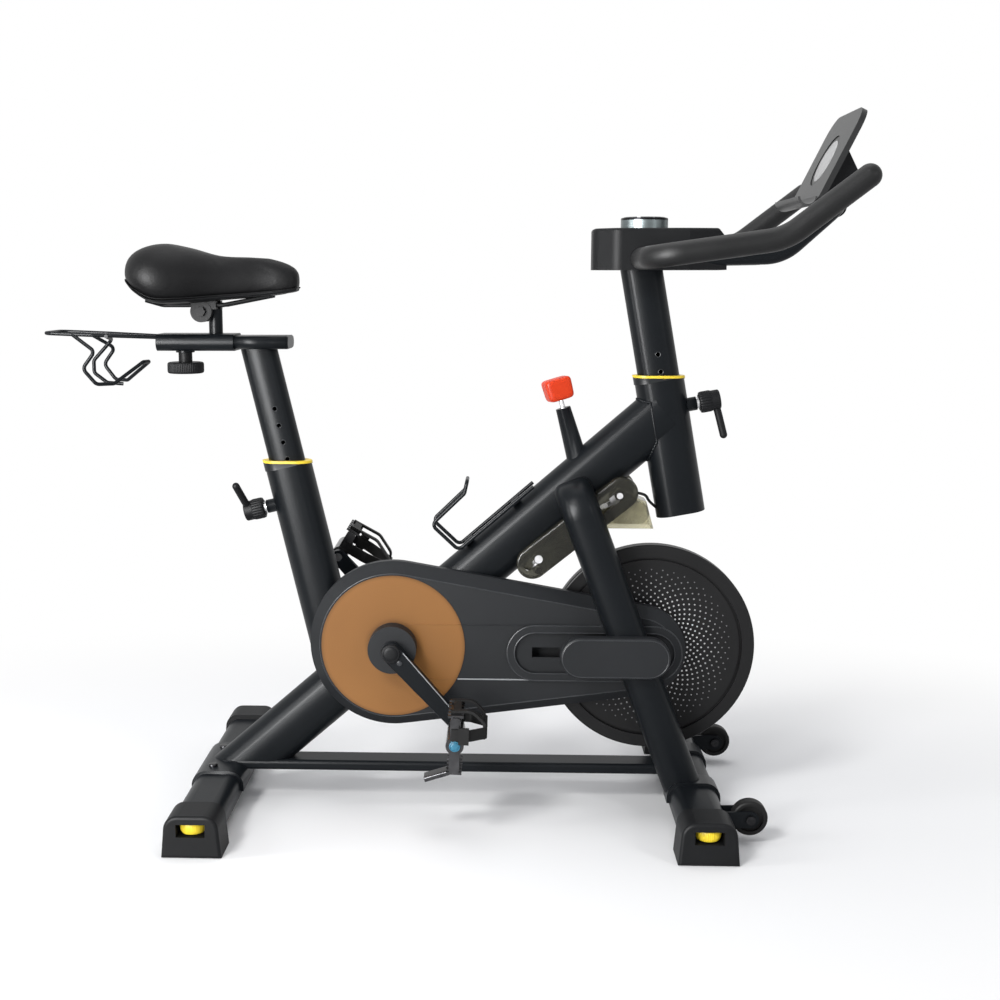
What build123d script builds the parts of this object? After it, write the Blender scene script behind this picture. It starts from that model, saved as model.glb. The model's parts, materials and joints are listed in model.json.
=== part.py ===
from build123d import *
import os
from math import acos, atan2, cos, degrees, hypot, radians, sin, tan

# Exercise bike in millimetres: +X forward, +Y to the rider's left, +Z up, floor at Z = 0.

# General wall thicknesses and clearances
STEEL_WALL = 2.5
PLASTIC_WALL = 2.5
RUNNING_GAP = 0.05
SLIDE_GAP = 0.35
MOVING_GAP = 0.6

# Main tube, through the bottom bracket
BB_X = -79.0
BB_Z = 274.0
MAIN_ANGLE = 41.0
MAIN_TALL = 86.5
MAIN_WIDE = 48.0
BB_SHELL_R = 22.0
BB_SHELL_HALF = 32.0

# Head tube and handlebar post
HEAD_LEAN = 10.45
HEAD_TOP_X = 347.2
HEAD_TOP_Z = 702.0
HEAD_LENGTH = 219.0
HEAD_LONG = 79.0
HEAD_WIDE = 46.0
BAR_POST_LONG = 66.0
BAR_POST_WIDE = 33.0
BAR_POST_RISE = 190.0
BAR_POST_SUNK = 150.0

# Seat tube and seat post
SEAT_LEAN = 13.2
SEAT_TOP_X = -252.3
SEAT_TOP_Z = 561.0
SEAT_LONG = 76.0
SEAT_WIDE = 46.0
SEAT_POST_LONG = 58.0
SEAT_POST_WIDE = 28.0
SEAT_POST_SUNK = 150.0

# Yellow collars
COLLAR_LIP = 1.6
COLLAR_TALL = 5.0
COLLAR_SLEEVE = 55.0

# Index holes of the posts
INDEX_HOLE_R = 4.5
INDEX_PITCH = 28.0

# Feet
REAR_FOOT_X = -369.0
FRONT_FOOT_X = 407.0
FOOT_HALF = 275.0
FOOT_WIDE = 76.0
FOOT_TALL = 50.0
FOOT_ROUND = 20.0
FOOT_Z = 33.0
BRACKET_THICK = 5.0
REAR_BRACKET_HALF = 72.0
CAP_LENGTH = 62.0
CAP_WIDE = 92.0
CAP_TOP_WIDE = 80.0
CAP_TALL = 66.0
CAP_ROUND = 22.0
CAP_SOCKET = 15.0
FOOT_TUBE_HALF = FOOT_HALF - CAP_LENGTH + CAP_SOCKET

# Levelling wheels
LEVEL_R = 19.5
LEVEL_TALL = 17.0
LEVEL_TOP_Z = 52.0
LEVEL_STUD_R = 5.0
WINDOW_WIDE = 44.0
WINDOW_TALL = 20.0
WINDOW_DEEP = 43.0

# Base rail
RAIL_WIDE = 50.0
RAIL_TALL = 17.5
RAIL_TOP_Z = 66.0

# Transport wheels
ROLLER_X = 481.0
ROLLER_Y = 179.0
ROLLER_Z = 41.0
ROLLER_R = 27.5
ROLLER_WIDE = 22.0
ROLLER_AXLE_R = 4.0
ROLLER_PLATE = 3.0

# Fork legs
LEG_TOP_X = 211.0
LEG_TOP_Z = 527.0
LEG_FOOT_X = 390.0
LEG_Y = 77.5
LEG_LONG = 61.0
LEG_WIDE = 32.0
LEG_BEND = 36.0
LEG_BRACKET_HALF = 21.0

# Flywheel and its axle
WHEEL_X = 341.0
WHEEL_Z = 264.0
WHEEL_R = 171.0
WHEEL_HALF = 12.0
FACE_R = 146.0
GROOVE_WIDE = 4.5
FACE_DROP = 2.0
GROOVE_DROP = 6.0
HUB_R = 32.0
HUB_HALF = 27.0
AXLE_R = 6.0
AXLE_HALF = 104.5
DROPOUT_THICK = 4.0
NUT_R = 10.0
NUT_TALL = 8.0

# Belt drive
BIG_PULLEY_R = 104.0
SMALL_PULLEY_R = 27.0
BELT_Y = -43.0
BELT_WIDE = 11.0
BELT_THICK = 2.5
BELT_GAP = 0.3
HUB_BEARING_R = 14.0
BB_BEARING_R = 17.0
CRANK_AXLE_R = 8.5

# Belt guard
GUARD_R = 137.0
GUARD_TIP_R = 76.0
GUARD_TIP_X = 320.0
GUARD_TIP_Z = 265.0
GUARD_BACK_Y = -25.2
GUARD_EDGE_Y = -38.0
GUARD_FACE_Y = -56.0
GUARD_BEVEL = 18.0
DISC_R = 116.5
DISC_THICK = 2.5
DISC_SUNK = 1.5
COLLAR_R = 39.0
COLLAR_FACE_Y = -84.0
RING_X0 = 106.0
RING_X1 = 388.0
RING_TALL = 92.0
RING_WALL = 12.0
RING_FACE_Y = -60.0
RING_FLOOR_Y = -54.0
SLOT_X = 169.0
SLOT_LONG = 45.0
SLOT_TALL = 16.5

# Bare cover over the axle end
BADGE_X0 = 190.0
BADGE_X1 = 364.0
BADGE_TALL = 67.0
BADGE_Z = 270.0
BADGE_FACE_Y = -109.0
BADGE_WALL = 3.0

# Cranks and pedals
CRANK_LENGTH = 157.0
CRANK_ANGLE = -48.0
CRANK_IN = 88.0
CRANK_OUT = 104.0
CRANK_HUB_R = 16.0
CRANK_END_R = 11.5
SPINDLE_R = 5.0
PEDAL_IN = 113.0
PEDAL_OUT = 205.0
PEDAL_LONG = 94.0
PEDAL_THICK = 24.0
PEDAL_BARREL_R = 14.0
RIGHT_PEDAL_TURN = 92.0
RIGHT_CAGE_REACH = 44.0
LEFT_PEDAL_TURN = 121.0
LEFT_CAGE_REACH = 80.0
STRAP_THICK = 3.0
STRAP_WIDE = 22.0
TOE_BAR_Y = 27.0
TOE_BAR_WIDE = 9.0
TOE_BAR_THICK = 4.0

# Magnetic brake
COVER_LOW_X = 146.0
COVER_LOW_Z = 408.5
COVER_HIGH_X = 288.6
COVER_HIGH_Z = 524.0
COVER_R = 25.5
COVER_IN = 26.0
COVER_OUT = 42.0
ARM_DROP = 16.0
ARM_HALF = 18.0
ARM_TALL = 18.0
ARM_PIN_R = 5.0
MAGNET_R = 12.0
MAGNET_THICK = 3.0
SHROUD_X0 = 262.0
SHROUD_X1 = 341.0
SHROUD_Z = 464.0
LEAD_R = 2.3

# Tension rod and knob
ROD_TOP_X = 194.0
ROD_TOP_Z = 657.0
ROD_LEAN = 16.0
ROD_R = 4.0
ROD_LENGTH = 208.0
GUIDE_LENGTH = 86.0
GUIDE_TOP_R = 12.0
GUIDE_FOOT_R = 16.5
KNOB_SIZE = 37.0
KNOB_TALL = 34.0
KNOB_RISE = 14.0

# Seat bar, slider and saddle
SEAT_BAR_Z = 762.0
SEAT_BAR_X0 = -446.0
SEAT_BAR_X1 = -247.0
SEAT_BAR_WIDE = 70.0
SEAT_BAR_TALL = 21.0
SLIDER_X0 = -456.0
SLIDER_X1 = -332.0
SLIDER_WALL = 2.6
STEM_X = -366.0
STEM_R = 11.0
TILT_X = -384.0
TILT_Z = 811.0
TILT_R = 12.0
SADDLE_BACK_X = -503.0
SADDLE_NOSE_X = -228.0
SADDLE_HALF = 98.0
RAIL_ROD_R = 3.5
RAIL_RISE = 10.0
RAIL_ROD_Y = 20.0
SLIDER_KNOB_X = -417.0
SLIDER_KNOB_R = 28.5
SLIDER_KNOB_TALL = 18.0
SLIDER_KNOB_Z = 711.5

# Wire forms
RACK_WIRE_R = 3.0
CAGE_WIRE_R = 3.0
CAGE_HALF = 24.0

# Handlebar
BAR_X = 309.0
BAR_Z = 893.0
BAR_R = 12.7
GRIP_R = 17.0
BAR_Y = 212.0
BAR_RUN_X = 497.0
BAR_RUN_Z = 919.0
BAR_TIP_X = 611.0
BAR_TIP_Z = 1006.0
LOOP_Y = 40.0
LOOP_R = 12.5
LOOP_RUN_X = 527.0
LOOP_RUN_Z = 897.0
BOX_X0 = 236.0
BOX_X1 = 442.0
BOX_Z0 = 876.0
BOX_Z1 = 940.0
BOX_HALF = 57.0
PUCK_X = 318.0
PUCK_R = 37.0
PUCK_TALL = 17.0
PUCK_GLASS = 3.0

# Tablet tray
TRAY_X = 565.0
TRAY_Z = 981.0
TRAY_LEAN = 26.0
TRAY_TALL = 151.0
TRAY_HALF = 97.0
TRAY_THICK = 9.0
TRAY_HOLE_TALL = 84.0
TRAY_HOLE_WIDE = 92.0
LIP_R = 15.0
LIP_WALL = 3.5
TRAY_PIVOT_OUT = 47.0
TRAY_PIVOT_DROP = 7.0

# Tip of the inner loop bar, at the tray's pivot
LOOP_TIP_X = TRAY_X + TRAY_PIVOT_OUT
LOOP_TIP_Z = TRAY_Z - TRAY_PIVOT_DROP

# Clamp levers on the two tubes
LOCK_DOWN_SEAT = 58.0
LOCK_DOWN_HEAD = 47.0
LOCK_BOSS_R = 11.0
LOCK_BOSS_LONG = 13.0
LOCK_PIN_R = 6.0
LOCK_HUB_R = 16.0
LOCK_HUB_LONG = 34.0
LOCK_GAP = 4.0


def side_plane(y):
    """Sketch plane at depth y: sketch x is X, sketch y is Z, and a positive extrusion goes to -Y."""
    return Plane(origin=(0, y, 0), x_dir=(1, 0, 0), z_dir=(0, -1, 0))


def slab(sketch, y_far, y_near):
    """Sketch drawn in X and Z, extruded from depth y_far to the lower depth y_near."""
    return extrude(side_plane(y_far) * sketch, amount=y_far - y_near)


def rod_y(radius, y_near, y_far, x, z):
    """Round bar along Y between two depths."""
    return slab(Pos(x, z) * Circle(radius), y_far, y_near)


def lean_plane(x, z, lean):
    """Plane across a leaning post: normal up the post, sketch x forward, sketch y to the left."""
    a = radians(lean)
    return Plane(origin=(x, 0, z), x_dir=(cos(a), 0, sin(a)), z_dir=(-sin(a), 0, cos(a)))


def slot_between(x0, z0, x1, z1, radius):
    """Stadium in X and Z around the line between two centres."""
    turn = degrees(atan2(z1 - z0, x1 - x0))
    long = hypot(x1 - x0, z1 - z0) + 2 * radius
    return Pos((x0 + x1) / 2, (z0 + z1) / 2) * Rot(0, 0, turn) * SlotOverall(long, 2 * radius)


def wire_rod(points, bends, radius):
    """Bent round wire through points with a bend radius at each inner corner."""
    path = FilletPolyline(*points, radius=bends)
    start = Plane(origin=path @ 0, z_dir=path % 0)
    return sweep(start * Circle(radius), path=path)


def mirrored(shape):
    """The same piece on the other side of the bike."""
    return mirror(shape, about=Plane.XZ)


MAIN_C = cos(radians(MAIN_ANGLE))
MAIN_S = sin(radians(MAIN_ANGLE))
HEAD = lean_plane(HEAD_TOP_X, HEAD_TOP_Z, HEAD_LEAN)
SEAT = lean_plane(SEAT_TOP_X, SEAT_TOP_Z, SEAT_LEAN)
ROD_A = radians(ROD_LEAN)
ROD = Plane(
    origin=(ROD_TOP_X, 0, ROD_TOP_Z),
    x_dir=(cos(ROD_A), 0, sin(ROD_A)),
    z_dir=(-sin(ROD_A), 0, cos(ROD_A)),
)


def main_solid(grow=0.0):
    """Solid form of the main tube from below the rear foot up to the head tube's axis."""
    back = (RAIL_TOP_Z - BB_Z) / MAIN_S - MAIN_TALL * 1.6
    start = Plane(
        origin=(BB_X + back * MAIN_C, 0, BB_Z + back * MAIN_S),
        x_dir=(MAIN_S, 0, -MAIN_C),
        z_dir=(MAIN_C, 0, MAIN_S),
    )
    ahead = (HEAD_TOP_X + 9.0 - BB_X) / MAIN_C
    section = SlotOverall(MAIN_TALL + 2 * grow, MAIN_WIDE + 2 * grow)
    return extrude(start * section, amount=ahead - back)


def head_solid(grow=0.0):
    return extrude(HEAD * SlotOverall(HEAD_LONG + 2 * grow, HEAD_WIDE + 2 * grow), amount=-HEAD_LENGTH)


def foot_solid(x, half, grow=0.0):
    """Rounded foot tube form along Y."""
    section = RectangleRounded(FOOT_WIDE + 2 * grow, FOOT_TALL + 2 * grow, FOOT_ROUND + grow)
    return slab(Pos(x, FOOT_Z) * section, half, -half)


def foot_bracket(x, y_near, y_far):
    """Plate bent over the upper half of a foot tube."""
    section = RectangleRounded(
        FOOT_WIDE + 2 * BRACKET_THICK, FOOT_TALL + 2 * BRACKET_THICK, FOOT_ROUND + BRACKET_THICK
    )
    plate = slab(Pos(x, FOOT_Z) * section, y_far, y_near)
    lower = Pos(x, 0, 0) * Box(200, 600, 2 * (FOOT_Z - 4.0))
    return plate - foot_solid(x, FOOT_HALF) - lower


def rail_solid():
    section = Plane(origin=(REAR_FOOT_X, 0, RAIL_TOP_Z - RAIL_TALL / 2), z_dir=(1, 0, 0), x_dir=(0, 1, 0))
    bar = extrude(section * RectangleRounded(RAIL_WIDE, RAIL_TALL, 6.0), amount=FRONT_FOOT_X - REAR_FOOT_X)
    return bar - foot_solid(REAR_FOOT_X, FOOT_HALF, BRACKET_THICK) - foot_solid(FRONT_FOOT_X, FOOT_HALF)


def rod_line(radius, length, up=0.0):
    """Round bar along the tension rod's line, length down from the guide's top raised by up."""
    return extrude(ROD * Pos(0, 0, up) * Circle(radius), amount=-length)


def main_tube():
    """Main tube with the bottom bracket shell, rod guide and rear foot bracket welded on."""
    inner = main_solid(-STEEL_WALL)
    guide = loft([ROD * Circle(GUIDE_TOP_R), ROD * Pos(0, 0, -GUIDE_LENGTH) * Circle(GUIDE_FOOT_R)])
    guide -= main_solid(-STEEL_WALL / 2)
    tube = main_solid() - inner
    tube -= Pos(0, 0, -200) * Box(3000, 300, 400 + 2 * (RAIL_TOP_Z - 6.0))
    tube += guide + foot_bracket(REAR_FOOT_X, -REAR_BRACKET_HALF, REAR_BRACKET_HALF)
    tube += rod_y(BB_SHELL_R, -BB_SHELL_HALF, BB_SHELL_HALF, BB_X, BB_Z)
    tube -= rod_y(BB_BEARING_R, -BB_SHELL_HALF, BB_SHELL_HALF, BB_X, BB_Z)
    tube -= rod_line(ROD_R + MOVING_GAP, 260.0)
    tube -= head_solid() + rail_solid() + foot_solid(REAR_FOOT_X, FOOT_HALF)
    return tube


def seat_tube():
    """Seat tube from the collar down onto the main tube, with the clamp boss behind."""
    down = (SEAT_TOP_Z - BB_Z) / cos(radians(SEAT_LEAN)) + 60.0
    tube = extrude(SEAT * SlotOverall(SEAT_LONG, SEAT_WIDE), amount=-down)
    bore = SlotOverall(SEAT_LONG - 2 * STEEL_WALL, SEAT_WIDE - 2 * STEEL_WALL)
    boss = lock_boss(SEAT, SEAT_LONG, LOCK_DOWN_SEAT, -1)
    tube = tube + boss - extrude(SEAT * bore, amount=-down)
    tube -= lock_bore(SEAT, SEAT_LONG, LOCK_DOWN_SEAT, -1)
    return tube - main_solid()


def head_tube():
    """Head tube, open at both ends, with the clamp boss in front and a hole for the lead."""
    bore = SlotOverall(HEAD_LONG - 2 * STEEL_WALL, HEAD_WIDE - 2 * STEEL_WALL)
    tube = head_solid() + lock_boss(HEAD, HEAD_LONG, LOCK_DOWN_HEAD, 1)
    tube -= extrude(HEAD * bore, amount=-HEAD_LENGTH)
    tube -= lock_bore(HEAD, HEAD_LONG, LOCK_DOWN_HEAD, 1)
    return tube - sensor_lead()


def lock_plane(post, long, down, sign):
    """Plane on a tube's front or back edge, normal pointing out of the tube."""
    origin = post.from_local_coords((sign * long / 2, 0, -down))
    out = post.x_dir * sign
    return Plane(origin=origin, x_dir=(0, 1, 0), z_dir=out)


def lock_boss(post, long, down, sign):
    base = lock_plane(post, long, down, sign)
    return extrude(base.offset(-6.0) * Circle(LOCK_BOSS_R), amount=6.0 + LOCK_BOSS_LONG)


def lock_bore(post, long, down, sign):
    base = lock_plane(post, long, down, sign)
    bore = LOCK_PIN_R + RUNNING_GAP
    return extrude(base.offset(-14.0) * Circle(bore), amount=14.0 + LOCK_BOSS_LONG)


def lock_pin(post, long, down, sign, reach):
    """Clamp pin with its collar; its tip stops just short of the post."""
    base = lock_plane(post, long, down, sign)
    pin = extrude(base.offset(-reach) * Circle(LOCK_PIN_R), amount=reach + LOCK_BOSS_LONG + LOCK_GAP)
    neck = extrude(
        base.offset(LOCK_BOSS_LONG + 0.5) * Circle(LOCK_PIN_R + 3.0), amount=LOCK_GAP - 0.5
    )
    tail = extrude(base.offset(LOCK_BOSS_LONG + LOCK_GAP) * Circle(LOCK_PIN_R), amount=16.0)
    return pin + neck + tail


def lock_lever(post, long, down, sign, turn):
    """L lever: ribbed hub on the pin with an arm bent off its outer end."""
    base = lock_plane(post, long, down, sign).offset(LOCK_BOSS_LONG + LOCK_GAP)
    hub = extrude(base * Circle(LOCK_HUB_R - 3.0), amount=10.0)
    hub += extrude(base.offset(8.0) * Circle(LOCK_HUB_R), amount=LOCK_HUB_LONG - 8.0)
    hub = fillet(hub.edges().filter_by(GeomType.CIRCLE).sort_by_distance(base.offset(90.0).origin)[0], 3.0)
    a = radians(turn)
    away = base.x_dir * cos(a) + base.y_dir * sin(a)
    shoulder = base.origin + base.z_dir * (LOCK_HUB_LONG - 9.0)
    knee = base.origin + base.z_dir * (LOCK_HUB_LONG - 6.0) + away * (LOCK_HUB_R + 6.0)
    tip = base.origin + base.z_dir * (LOCK_HUB_LONG - 3.0) + away * (LOCK_HUB_R + 42.0)
    arm = wire_rod([shoulder, knee, tip], 5.0, 6.0) + Pos(tip) * Sphere(6.0)
    return hub + arm - extrude(base * Circle(LOCK_PIN_R + RUNNING_GAP), amount=16.5)


def seat_lock_pin():
    return lock_pin(SEAT, SEAT_LONG, LOCK_DOWN_SEAT, -1, (SEAT_LONG - SEAT_POST_LONG) / 2 - SLIDE_GAP)


def seat_lock_lever():
    return lock_lever(SEAT, SEAT_LONG, LOCK_DOWN_SEAT, -1, -125.0)


def post_lock_pin():
    return lock_pin(HEAD, HEAD_LONG, LOCK_DOWN_HEAD, 1, (HEAD_LONG - BAR_POST_LONG) / 2 - SLIDE_GAP)


def post_lock_lever():
    return lock_lever(HEAD, HEAD_LONG, LOCK_DOWN_HEAD, 1, -90.0)


def leg_solid(grow=0.0):
    """Right fork leg: out of the main tube's side, one bend, then straight down to the front foot."""
    top = (LEG_TOP_X, -MAIN_WIDE / 2 + 6.0, LEG_TOP_Z)
    bend = (LEG_TOP_X, -LEG_Y, LEG_TOP_Z)
    foot = (LEG_FOOT_X, -LEG_Y, FOOT_Z + FOOT_TALL / 2 - 6.0)
    path = FilletPolyline(top, bend, foot, radius=LEG_BEND)
    lean = atan2(LEG_FOOT_X - LEG_TOP_X, LEG_TOP_Z - foot[2])
    start = Plane(origin=top, x_dir=(cos(lean), 0, sin(lean)), z_dir=(0, -1, 0))
    return sweep(start * SlotOverall(LEG_LONG + 2 * grow, LEG_WIDE + 2 * grow), path=path)


def fork_leg():
    """One hollow fork leg with its foot bracket and axle plate."""
    leg = leg_solid() - leg_solid(-STEEL_WALL)
    leg -= main_solid() + foot_solid(FRONT_FOOT_X, FOOT_HALF, BRACKET_THICK / 2)
    bracket = foot_bracket(FRONT_FOOT_X, -LEG_Y - LEG_BRACKET_HALF, -LEG_Y + LEG_BRACKET_HALF)
    leg += bracket - leg_solid(-STEEL_WALL)
    outer = -LEG_Y - LEG_WIDE / 2
    plate = slot_between(WHEEL_X - 50.0, WHEEL_Z, WHEEL_X - 4.0, WHEEL_Z, 18.0)
    leg += slab(plate, outer + 1.0, outer - DROPOUT_THICK)
    return leg - rod_y(AXLE_R, -AXLE_HALF, 0, WHEEL_X, WHEEL_Z) - rail_solid()


def fork_legs():
    leg = fork_leg()
    return Compound(children=[leg, mirrored(leg)])


def base_rail():
    """Flat base rail between the two feet, hollow with closed ends against the brackets."""
    hollow = Plane(origin=(REAR_FOOT_X + 60.0, 0, RAIL_TOP_Z - RAIL_TALL / 2), z_dir=(1, 0, 0), x_dir=(0, 1, 0))
    core = extrude(
        hollow * RectangleRounded(RAIL_WIDE - 4.0, RAIL_TALL - 4.0, 4.0),
        amount=FRONT_FOOT_X - REAR_FOOT_X - 120.0,
    )
    return rail_solid() - core


def foot_tube(x):
    tube = foot_solid(x, FOOT_TUBE_HALF)
    inner = foot_solid(x, FOOT_HALF, -STEEL_WALL)
    return tube - inner


def rear_stabilizer():
    return foot_tube(REAR_FOOT_X)


def roller_plates():
    """Two plates on each side that hold the transport wheels in front of the foot."""
    gap = ROLLER_WIDE / 2 + 1.0
    face = slot_between(FRONT_FOOT_X + FOOT_WIDE / 2 - 4.0, ROLLER_Z - 1.0, ROLLER_X, ROLLER_Z, 13.0)
    plates = slab(face, -ROLLER_Y + gap + ROLLER_PLATE, -ROLLER_Y + gap)
    plates += slab(face, -ROLLER_Y - gap, -ROLLER_Y - gap - ROLLER_PLATE)
    plates -= rod_y(ROLLER_AXLE_R, -FOOT_HALF, 0, ROLLER_X, ROLLER_Z)
    return plates - foot_solid(FRONT_FOOT_X, FOOT_HALF, -1.0)


def front_stabilizer():
    """Front foot tube with the transport wheel plates welded to its front."""
    plates = roller_plates()
    return foot_tube(FRONT_FOOT_X) + plates + mirrored(plates)


def roller():
    """Transport wheel: tread with rounded edges, dished sides and a bore for its axle."""
    wheel = rod_y(ROLLER_R, -ROLLER_Y - ROLLER_WIDE / 2, -ROLLER_Y + ROLLER_WIDE / 2, ROLLER_X, ROLLER_Z)
    wheel = fillet(wheel.edges(), 4.0)
    for side in (-1, 1):
        y = -ROLLER_Y + side * ROLLER_WIDE / 2
        dish = rod_y(ROLLER_R - 7.0, y - 4.0, y + 4.0, ROLLER_X, ROLLER_Z)
        wheel -= dish - rod_y(9.0, y - 4.0, y + 4.0, ROLLER_X, ROLLER_Z)
    return wheel - rod_y(ROLLER_AXLE_R + RUNNING_GAP, -FOOT_HALF, 0, ROLLER_X, ROLLER_Z)


def roller_right():
    return roller()


def roller_left():
    return mirrored(roller())


def end_cap(x):
    """Foot end cap on the right side: flared block with a round top and the levelling window."""
    low = CAP_WIDE / 2
    high = CAP_TOP_WIDE / 2
    outline = Polyline((x - low, 0), (x + low, 0), (x + high, CAP_TALL), (x - high, CAP_TALL), close=True)
    face = make_face(outline)
    face = fillet(face.vertices().sort_by(Axis.Y)[2:], CAP_ROUND)
    cap = slab(face, -FOOT_HALF + CAP_LENGTH, -FOOT_HALF)
    front = cap.faces().sort_by(Axis.Y)[0]
    cap = fillet(front.edges(), 5.0)
    cap -= slab(
        Pos(x, FOOT_Z) * RectangleRounded(FOOT_WIDE, FOOT_TALL, FOOT_ROUND),
        -FOOT_HALF + CAP_LENGTH,
        -FOOT_TUBE_HALF,
    )
    pocket = Pos(x, LEVEL_TOP_Z + 1.5 - WINDOW_TALL / 2) * Rectangle(WINDOW_WIDE, WINDOW_TALL)
    cap -= slab(pocket, -FOOT_HALF + WINDOW_DEEP, -FOOT_HALF)
    stud = Pos(x, -FOOT_HALF + LEVEL_R + 2.0, 0) * Cylinder(LEVEL_STUD_R + 0.5, 2 * LEVEL_TOP_Z)
    return cap - stud


def end_caps():
    right = [end_cap(REAR_FOOT_X), end_cap(FRONT_FOOT_X)]
    return Compound(children=right + [mirrored(cap) for cap in right])


def level_wheel(x):
    """Half-ball levelling wheel with a flat top on its upright stud."""
    profile = Polyline((0, LEVEL_TOP_Z), (LEVEL_R, LEVEL_TOP_Z), (LEVEL_R, LEVEL_TOP_Z - 3.0))
    low = LEVEL_TOP_Z - LEVEL_TALL
    dome = ThreePointArc((LEVEL_R, LEVEL_TOP_Z - 3.0), (0.72 * LEVEL_R, low + 4.2), (0, low))
    axis = Line((0, low), (0, LEVEL_TOP_Z))
    face = Plane.XZ * make_face([*profile.edges(), *dome.edges(), *axis.edges()])
    wheel = revolve(face, axis=Axis.Z)
    stud_top = LEVEL_TOP_Z - LEVEL_TALL / 2
    wheel += Pos(0, 0, (stud_top + 3.0) / 2) * Cylinder(LEVEL_STUD_R, stud_top - 3.0)
    return Pos(x, -FOOT_HALF + LEVEL_R + 2.0, 0) * wheel


def level_wheel_rear_right():
    return level_wheel(REAR_FOOT_X)


def level_wheel_rear_left():
    return mirrored(level_wheel(REAR_FOOT_X))


def level_wheel_front_right():
    return level_wheel(FRONT_FOOT_X)


def level_wheel_front_left():
    return mirrored(level_wheel(FRONT_FOOT_X))


def dome_bolt(x, y, z):
    """Dome-headed bolt standing on a bracket's top."""
    head = Pos(x, y, z) * Cylinder(7.5, 4.0, align=(Align.CENTER, Align.CENTER, Align.MIN))
    return fillet(head.edges().sort_by(Axis.Z)[-1], 2.5)


def cover_screw(x, z, head):
    """Cover screw seen on the right brake cover, its shank reaching the main tube's side."""
    shank = rod_y(3.0, -COVER_OUT, -COVER_IN + 0.4, x, z)
    return shank + rod_y(head, -COVER_OUT - 3.0, -COVER_OUT, x, z)


def frame_bolts():
    """Bolts and screws of the frame: foot bolts, transport wheel axles and brake cover screws."""
    top = FOOT_Z + FOOT_TALL / 2 + BRACKET_THICK
    bolts = [dome_bolt(REAR_FOOT_X - 12.0, side * 46.0, top) for side in (-1, 1)]
    end = ROLLER_WIDE / 2 + 1.0 + ROLLER_PLATE
    axle = rod_y(ROLLER_AXLE_R, -ROLLER_Y - end, -ROLLER_Y + end, ROLLER_X, ROLLER_Z)
    axle += rod_y(7.0, -ROLLER_Y - end - 4.0, -ROLLER_Y - end, ROLLER_X, ROLLER_Z)
    axle += rod_y(7.0, -ROLLER_Y + end, -ROLLER_Y + end + 5.0, ROLLER_X, ROLLER_Z)
    low = cover_point(0.07)
    high = cover_point(0.97)
    screws = [cover_screw(low[0], low[1], 6.5), cover_screw(high[0], high[1], 5.0)]
    bolts += [axle, mirrored(axle)]
    bolts += screws + [mirrored(screw) for screw in screws] + [arm_pin()]
    return Compound(children=bolts)


def teardrop(inset, r_big, x_tip, z_tip, r_tip):
    """Outline of two circles and their common tangents, drawn in by an inset."""
    turn = atan2(z_tip - BB_Z, x_tip - BB_X)
    open_angle = acos((r_big - r_tip) / hypot(x_tip - BB_X, z_tip - BB_Z))

    def on(x, z, radius, angle):
        return (x + (radius - inset) * cos(angle), z + (radius - inset) * sin(angle))

    up, down = turn + open_angle, turn - open_angle
    big = ThreePointArc(
        on(BB_X, BB_Z, r_big, up), on(BB_X, BB_Z, r_big, turn + radians(180)), on(BB_X, BB_Z, r_big, down)
    )
    tip = ThreePointArc(
        on(x_tip, z_tip, r_tip, down), on(x_tip, z_tip, r_tip, turn), on(x_tip, z_tip, r_tip, up)
    )
    return make_face([big, Line(big @ 1, tip @ 0), tip, Line(tip @ 1, big @ 0)])


def guard_outline(inset):
    return teardrop(inset, GUARD_R, GUARD_TIP_X, GUARD_TIP_Z, GUARD_TIP_R)


def guard_form(inset, y_back, y_edge, y_face):
    """Guard body: straight wall to the edge depth, then a bevel drawn in to the face."""
    body = slab(guard_outline(inset), y_back, y_edge)
    lip = side_plane(y_edge) * guard_outline(inset)
    face = side_plane(y_face) * guard_outline(inset + GUARD_BEVEL)
    return body + loft([lip, face], ruled=True)


def ring_outline(inset):
    r = RING_TALL / 2
    z = GUARD_TIP_Z
    return slot_between(RING_X0 + r, z, RING_X1 - r, z, r - inset)


def belt_guard_outer():
    """Outer guard shell with bevelled rim, disc seat, crank collar, stadium ring and slot."""
    shell = guard_form(0.0, GUARD_BACK_Y - 2.6, GUARD_EDGE_Y, GUARD_FACE_Y)
    shell += rod_y(COLLAR_R, COLLAR_FACE_Y, GUARD_FACE_Y, BB_X, BB_Z)
    shell += slab(ring_outline(0.0), GUARD_FACE_Y + 8.0, RING_FACE_Y)
    shell -= slab(ring_outline(RING_WALL), RING_FLOOR_Y, RING_FACE_Y)
    shell -= guard_form(
        PLASTIC_WALL, GUARD_BACK_Y, GUARD_EDGE_Y + PLASTIC_WALL / 2, GUARD_FACE_Y + PLASTIC_WALL + 1.0
    ) - slab(ring_outline(RING_WALL - 2.5), RING_FLOOR_Y + 2.5, RING_FACE_Y)
    disc = rod_y(DISC_R, GUARD_FACE_Y, GUARD_FACE_Y + DISC_SUNK, BB_X, BB_Z)
    shell -= disc - rod_y(COLLAR_R, GUARD_FACE_Y, GUARD_FACE_Y + DISC_SUNK, BB_X, BB_Z)
    shell -= slab(Pos(SLOT_X, GUARD_TIP_Z) * Rectangle(SLOT_LONG, SLOT_TALL), GUARD_BACK_Y, RING_FACE_Y)
    shell -= rod_y(CRANK_AXLE_R + 3.0, -100, 0, BB_X, BB_Z)
    return shell - rod_y(AXLE_R + 2.0, -100, 0, WHEEL_X, WHEEL_Z)


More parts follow.
